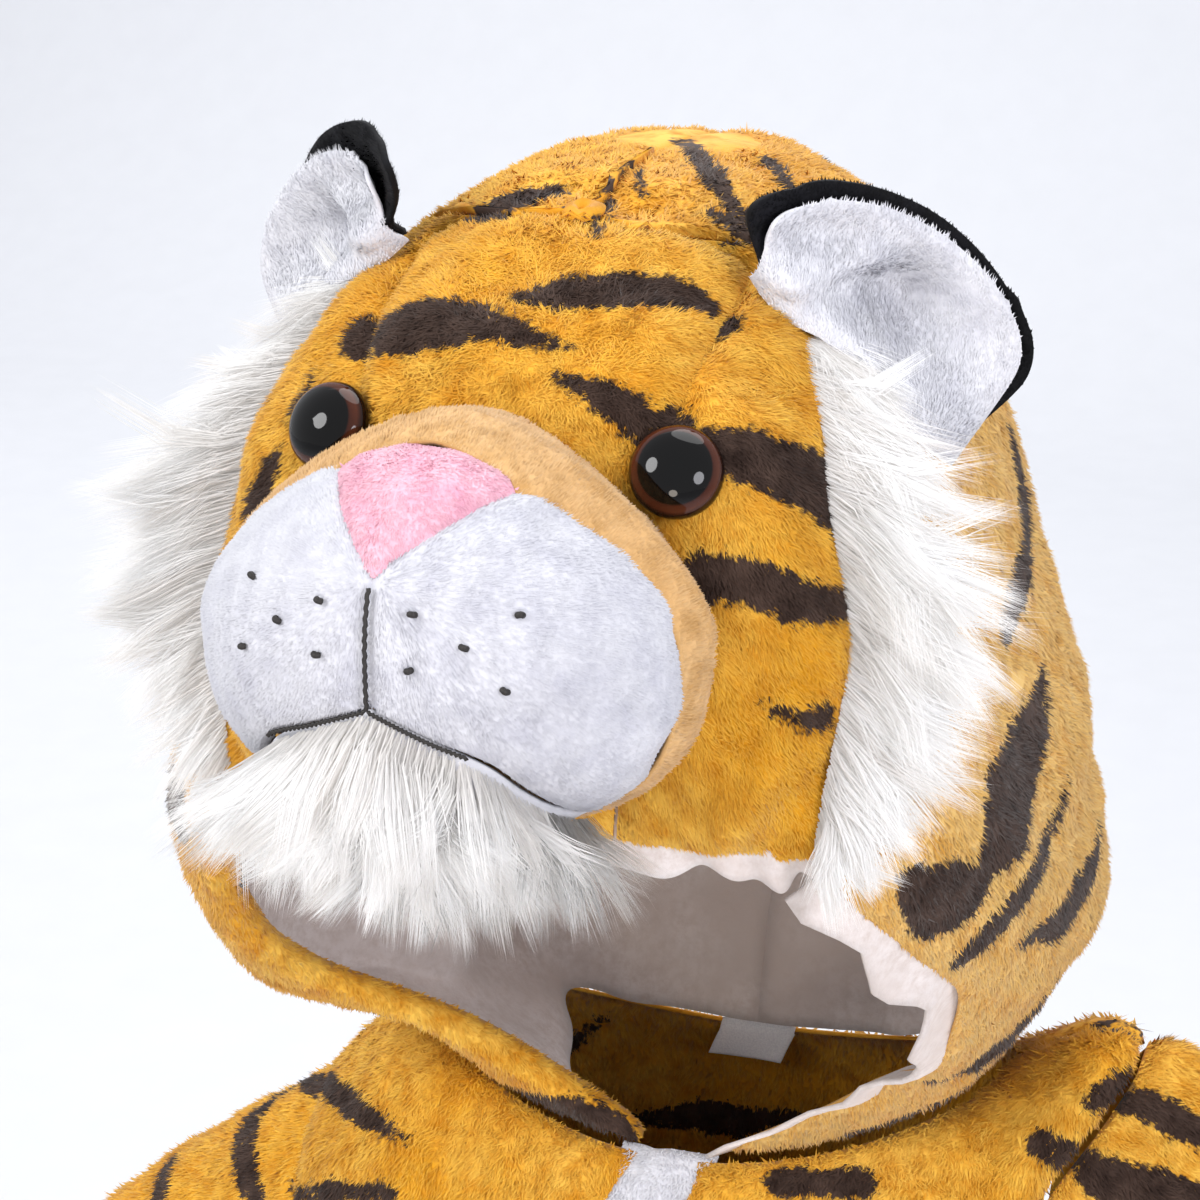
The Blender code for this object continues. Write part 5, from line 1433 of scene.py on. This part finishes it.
def ear_swell(share, t):
    """The folded-in front of the ear, a thick roll, and the hollow behind it."""
    line, start = np.array((0.75, 0.6)), np.array((-1.0, 0.02))
    place = np.stack([share, np.full_like(share, t)], axis=-1) - start
    along = np.clip(place @ line / (line @ line), 0, 1)
    away = np.linalg.norm((place - along[:, None] * line) * (EAR_HALF, EAR_HIGH), axis=1)
    hollow = np.hypot((share - 0.12) * EAR_HALF, (t - 0.42) * EAR_HIGH)
    swell = 9.5 * np.exp(-((away / 9) ** 2)) - 8 * np.exp(-((hollow / 14) ** 2))
    return swell * math.sin(math.pi * min(t + 0.08, 1)) ** 0.5


def make_eyes():
    near = (-2, 0, 2)
    spot = np.array([[hood_point(EYE_PLACE[0] + dx, EYE_PLACE[1] + dz) for dx in near] for dz in near])
    axis = normals_of(spot, (0, -50, 240))[1, 1]
    turns = np.linspace(0, math.pi / 2, 15)
    profile = [EYE_FOOT] + [(EYE_RADIUS * math.cos(a), EYE_RIM + EYE_HIGH * math.sin(a)) for a in turns]
    for name, side in SIDES:
        place = settle(hood_point(*EYE_PLACE) * (side, 1, 1))
        out = axis * (side, 1, 1)
        dome(f"eye_{name}_dome", place, out, profile, MATERIALS["eye"], f"eye_{name}", 40)


def make_body():
    heights = finer(body_heights(), 3)
    for name, side in SIDES:
        for face, back in (("front", False), ("back", True)):
            grid = mirrored(np.array([panel_row(height, back, 34) for height in heights]), side)
            laid = settle(grid)
            shoulder = on_cloth(front_stripes("shoulder", "inside"), laid, reach=14)
            low = 0.2 if not back else 0.34
            stripes = shoulder + sown_stripes(laid, 60 + 7 * side + back, spacing=43, half=7.0, low=low)
            piece = cloth(
                f"{face}_{name}_cloth", grid, f"{face}_{name}", MATERIALS["tiger"], "tiger_plush",
                (60 * side, 0, -300), stripes=stripes, wrinkle=1.0, tuck=2.0,
            )
            coarse = pile(piece, "body", nap=(0, 0, -1))
            if back:
                near_neck = lambda place: (place[:, 2] > -95.0) * (np.abs(place[:, 0]) < 120)
                fine = pile(piece, "neck", inner=True, name=f"back_{name}_inside_pile", keep=near_neck)
            else:
                top = lambda place: place[:, 2] > -75.0
                fine = pile(piece, "shoulder", name=f"front_{name}_top_pile", keep=top)
            state(piece, "hung", coarse, fine)


def panel_row(height, back=False, columns=10):
    """One level row of a body panel at +X, from its middle edge to its side seam."""
    share = np.linspace(0, 1, columns)
    gap = HALF / read(BODY, "height", "width", max(height, CROTCH))
    edge = 0.0 if back else read(FRONT_GAP, "height", "half", height) / BODY["width"][3]
    end = math.pi / 2 - armhole_spread(height) - gap
    torso = body_point((edge + gap) + (end - edge - gap) * share, max(height, CROTCH), back)
    leg = leg_point(gap * 2 + (math.pi - 4 * gap) * share, min(height, CROTCH), back)
    drop = np.clip((CROTCH_START - height) / (CROTCH_START - CROTCH), 0, 1)
    arch, slow = 1 - math.sqrt(1 - drop**2), soft_step(-height, -HIP_START, -CROTCH)
    blend = (arch + (slow - arch) * soft_step(share, 0, 0.45))[:, None]
    row = (1 - blend) * torso + blend * leg
    row[:, 2] = torso[:, 2] if height > CROTCH else height
    return row


def make_sleeves():
    turns = np.linspace(0, math.tau, 65)[:-1]
    heights = armhole_level(turns)
    hole = np.array([
        body_point(math.pi / 2 - armhole_spread(height), height, back=math.sin(turn) < 0)
        for turn, height in zip(turns, heights)
    ])
    centre = hole[::4].mean(axis=0)
    for name, side in SIDES:
        table = SLEEVES[name]
        middle, rows, last = centre + (0.8, 0, 0), [], 0.0
        for along in np.linspace(0, table["along"][-1], 56):
            slope = math.radians(float(read(table, "along", "slope", along)))
            radius = float(read(table, "along", "radius", along))
            ahead = np.array([math.cos(slope), 0, -math.sin(slope)])
            upward = np.array([math.sin(slope), 0, math.cos(slope)])
            middle = middle + ahead * (along - last)
            last = along
            ring = middle + radius * (np.outer(np.cos(turns), upward) - np.outer(np.sin(turns), (0, 1, 0)))
            blend = float(soft_step(along, 0, 110))
            rows.append((1 - blend) * (hole - centre + middle) + blend * ring)
        grid = mirrored(np.array(rows), side)
        laid = settle(grid)
        stripes = on_cloth(front_stripes("shoulder"), laid, reach=14)
        stripes += sown_stripes(
            laid, 80 + side, spacing=40, half=6.0, low=0.16, span=(0.3, 0.55), around=True,
        )
        piece = cloth(
            f"sleeve_{name}_cloth", grid, f"sleeve_{name}", MATERIALS["tiger"], "tiger_plush",
            (240 * side, 0, -130), around=True, sewn="top", stripes=stripes, wrinkle=1.2,
        )
        nap = (0.9 * side, 0.1, -0.8)
        upper = lambda place: (np.abs(place[:, 0]) < 235) & (place[:, 2] > -85)
        fine = pile(piece, "upper sleeve", nap=nap, name=f"sleeve_{name}_top_pile", keep=upper)
        state(piece, "hung", pile(piece, "sleeve", nap=nap), fine)


def make_closure():
    """The white strip under the front opening, and the studs that close it."""
    rows = []
    for height in finer(body_heights(), 3):
        if height >= CROTCH_START:
            out = np.linspace(-UNDERLAP_HALF, UNDERLAP_HALF, 22)
            fold = 1.6 * np.exp(-(((out + 5 + 0.03 * height) / 3.2) ** 2)) * (1 - soft_step(-height, 40, 150))
            rows.append(
                [(x, front_depth(x, height) + PLUSH + UNDERLAP_GAP - f, height) for x, f in zip(out, fold)]
            )
    piece = cloth(
        "front_underlap_cloth", np.array(rows), "front_underlap", MATERIALS["white"], "white_plush",
        (0, 60, -200),
        sink=0.2, tuck=0.4, wrinkle=0.4,
    )
    top = lambda place: place[:, 2] > -130.0
    state(piece, "hung", pile(piece, "underlap", nap=(0, 0, -1), keep=top))
    for number, height in enumerate(STUD_HEIGHTS, 1):
        y = front_depth(STUD_IN - STUD_RADIUS, height) - STUD_GAP
        place = settle(np.array((STUD_IN, y, height)))
        dome(
            f"stud_{number}_cap", place, np.array((0, -1, 0)), STUD_PROFILE, MATERIALS["stud"],
            f"stud_{number}", 24,
        )


def front_depth(out, height):
    """Where the front panels' outer side lies, this far out from the middle."""
    row = panel_row(height)
    return np.interp(abs(out), row[:, 0], row[:, 1])


def make_label():
    """The blank woven label, folded into the back neck seam."""
    rows = []
    for deep, high in LABEL_FOLD:
        y = BODY["back"][0] - 4.6 - 0.1 * abs(high) + deep
        rows.append([(x, y - 0.0045 * x * x, high) for x in np.linspace(-14, 14, 15)])
    piece = cloth(
        "neck_label_tape", np.array(rows), "neck_label", MATERIALS["label"], "label_tape", (0, 200, -10),
        sink=0,
        tuck=0, wrinkle=0.15, thick=0.4,
    )
    state(piece, "folded")


def make_camera():
    """The photograph's view: from the tiger's left front, a little above, with a longish lens."""
    right = np.array((math.cos(CAMERA_TURN), math.sin(CAMERA_TURN), 0))
    back = np.array((
        math.sin(CAMERA_TURN) * math.cos(CAMERA_RISE), -math.cos(CAMERA_TURN) * math.cos(CAMERA_RISE),
        math.sin(CAMERA_RISE),
    ))
    up = np.cross(back, right)
    place = (CAMERA_FAR * back - CAMERA_SIDE * right - CAMERA_UP * up) * MM
    data = bpy.data.cameras.new("photo_camera")
    data.lens, data.sensor_width, data.clip_end = LENS, 36.0, 60
    camera = bpy.data.objects.new("photo_camera", data)
    rows = [[right[k], up[k], back[k], place[k]] for k in range(3)] + [[0, 0, 0, 1]]
    camera.matrix_world = Matrix(rows)
    bpy.context.scene.collection.objects.link(camera)
    bpy.context.scene.camera = camera


def soft_light(name, place, aim, size, power, code, spread_degrees):
    data = bpy.data.lights.new(name, "AREA")
    data.shape, data.size, data.energy = "DISK", size, power
    data.color, data.spread = from_hex(code)[:3], math.radians(spread_degrees)
    light = bpy.data.objects.new(name, data)
    light.location = place
    light.rotation_euler = (Vector(aim) - Vector(place)).to_track_quat("-Z", "Y").to_euler()
    bpy.context.scene.collection.objects.link(light)


def make_studio():
    """A pale sweep of paper, lit by a lamp of its own, and soft light on the garment from the upper left."""
    turns = np.linspace(0.1, math.pi / 2, 12)
    profile = [(PAPER_NEAR, FLOOR), (PAPER_BEND, FLOOR)]
    profile += [
        (
            PAPER_BEND + PAPER_CURVE * math.sin(a), FLOOR + PAPER_CURVE - PAPER_CURVE * math.cos(a),
        ) for a in turns
    ]
    profile += [(PAPER_BEND + PAPER_CURVE, PAPER_TOP)]
    points = np.array([(x, y, z) for y, z in profile for x in np.linspace(-PAPER_HALF, PAPER_HALF, 9)]) / MM
    starts = [9 * j + i for j in range(len(profile) - 1) for i in range(8)]
    faces = [(k, k + 1, k + 10, k + 9) for k in starts]
    add_mesh("paper_sweep", points, faces, MATERIALS["backdrop"])
    for light in LIGHTS:
        soft_light(*light)
    world = bpy.data.worlds.new("pale_room")
    world.use_nodes = True
    world.node_tree.nodes["Background"].inputs["Color"].default_value = from_hex("#F1F3F8")
    world.node_tree.nodes["Background"].inputs["Strength"].default_value = 0.85
    bpy.context.scene.world = world
    bpy.context.scene.view_settings.view_transform = "Standard"


def main():
    make_camera()
    make_studio()
    make_hood()
    make_lining()
    make_turned_edge()
    make_face()
    make_muzzle()
    make_stitching()
    make_beard()
    make_ruffs()
    make_ears()
    make_eyes()
    make_body()
    make_sleeves()
    make_closure()
    make_label()


main()
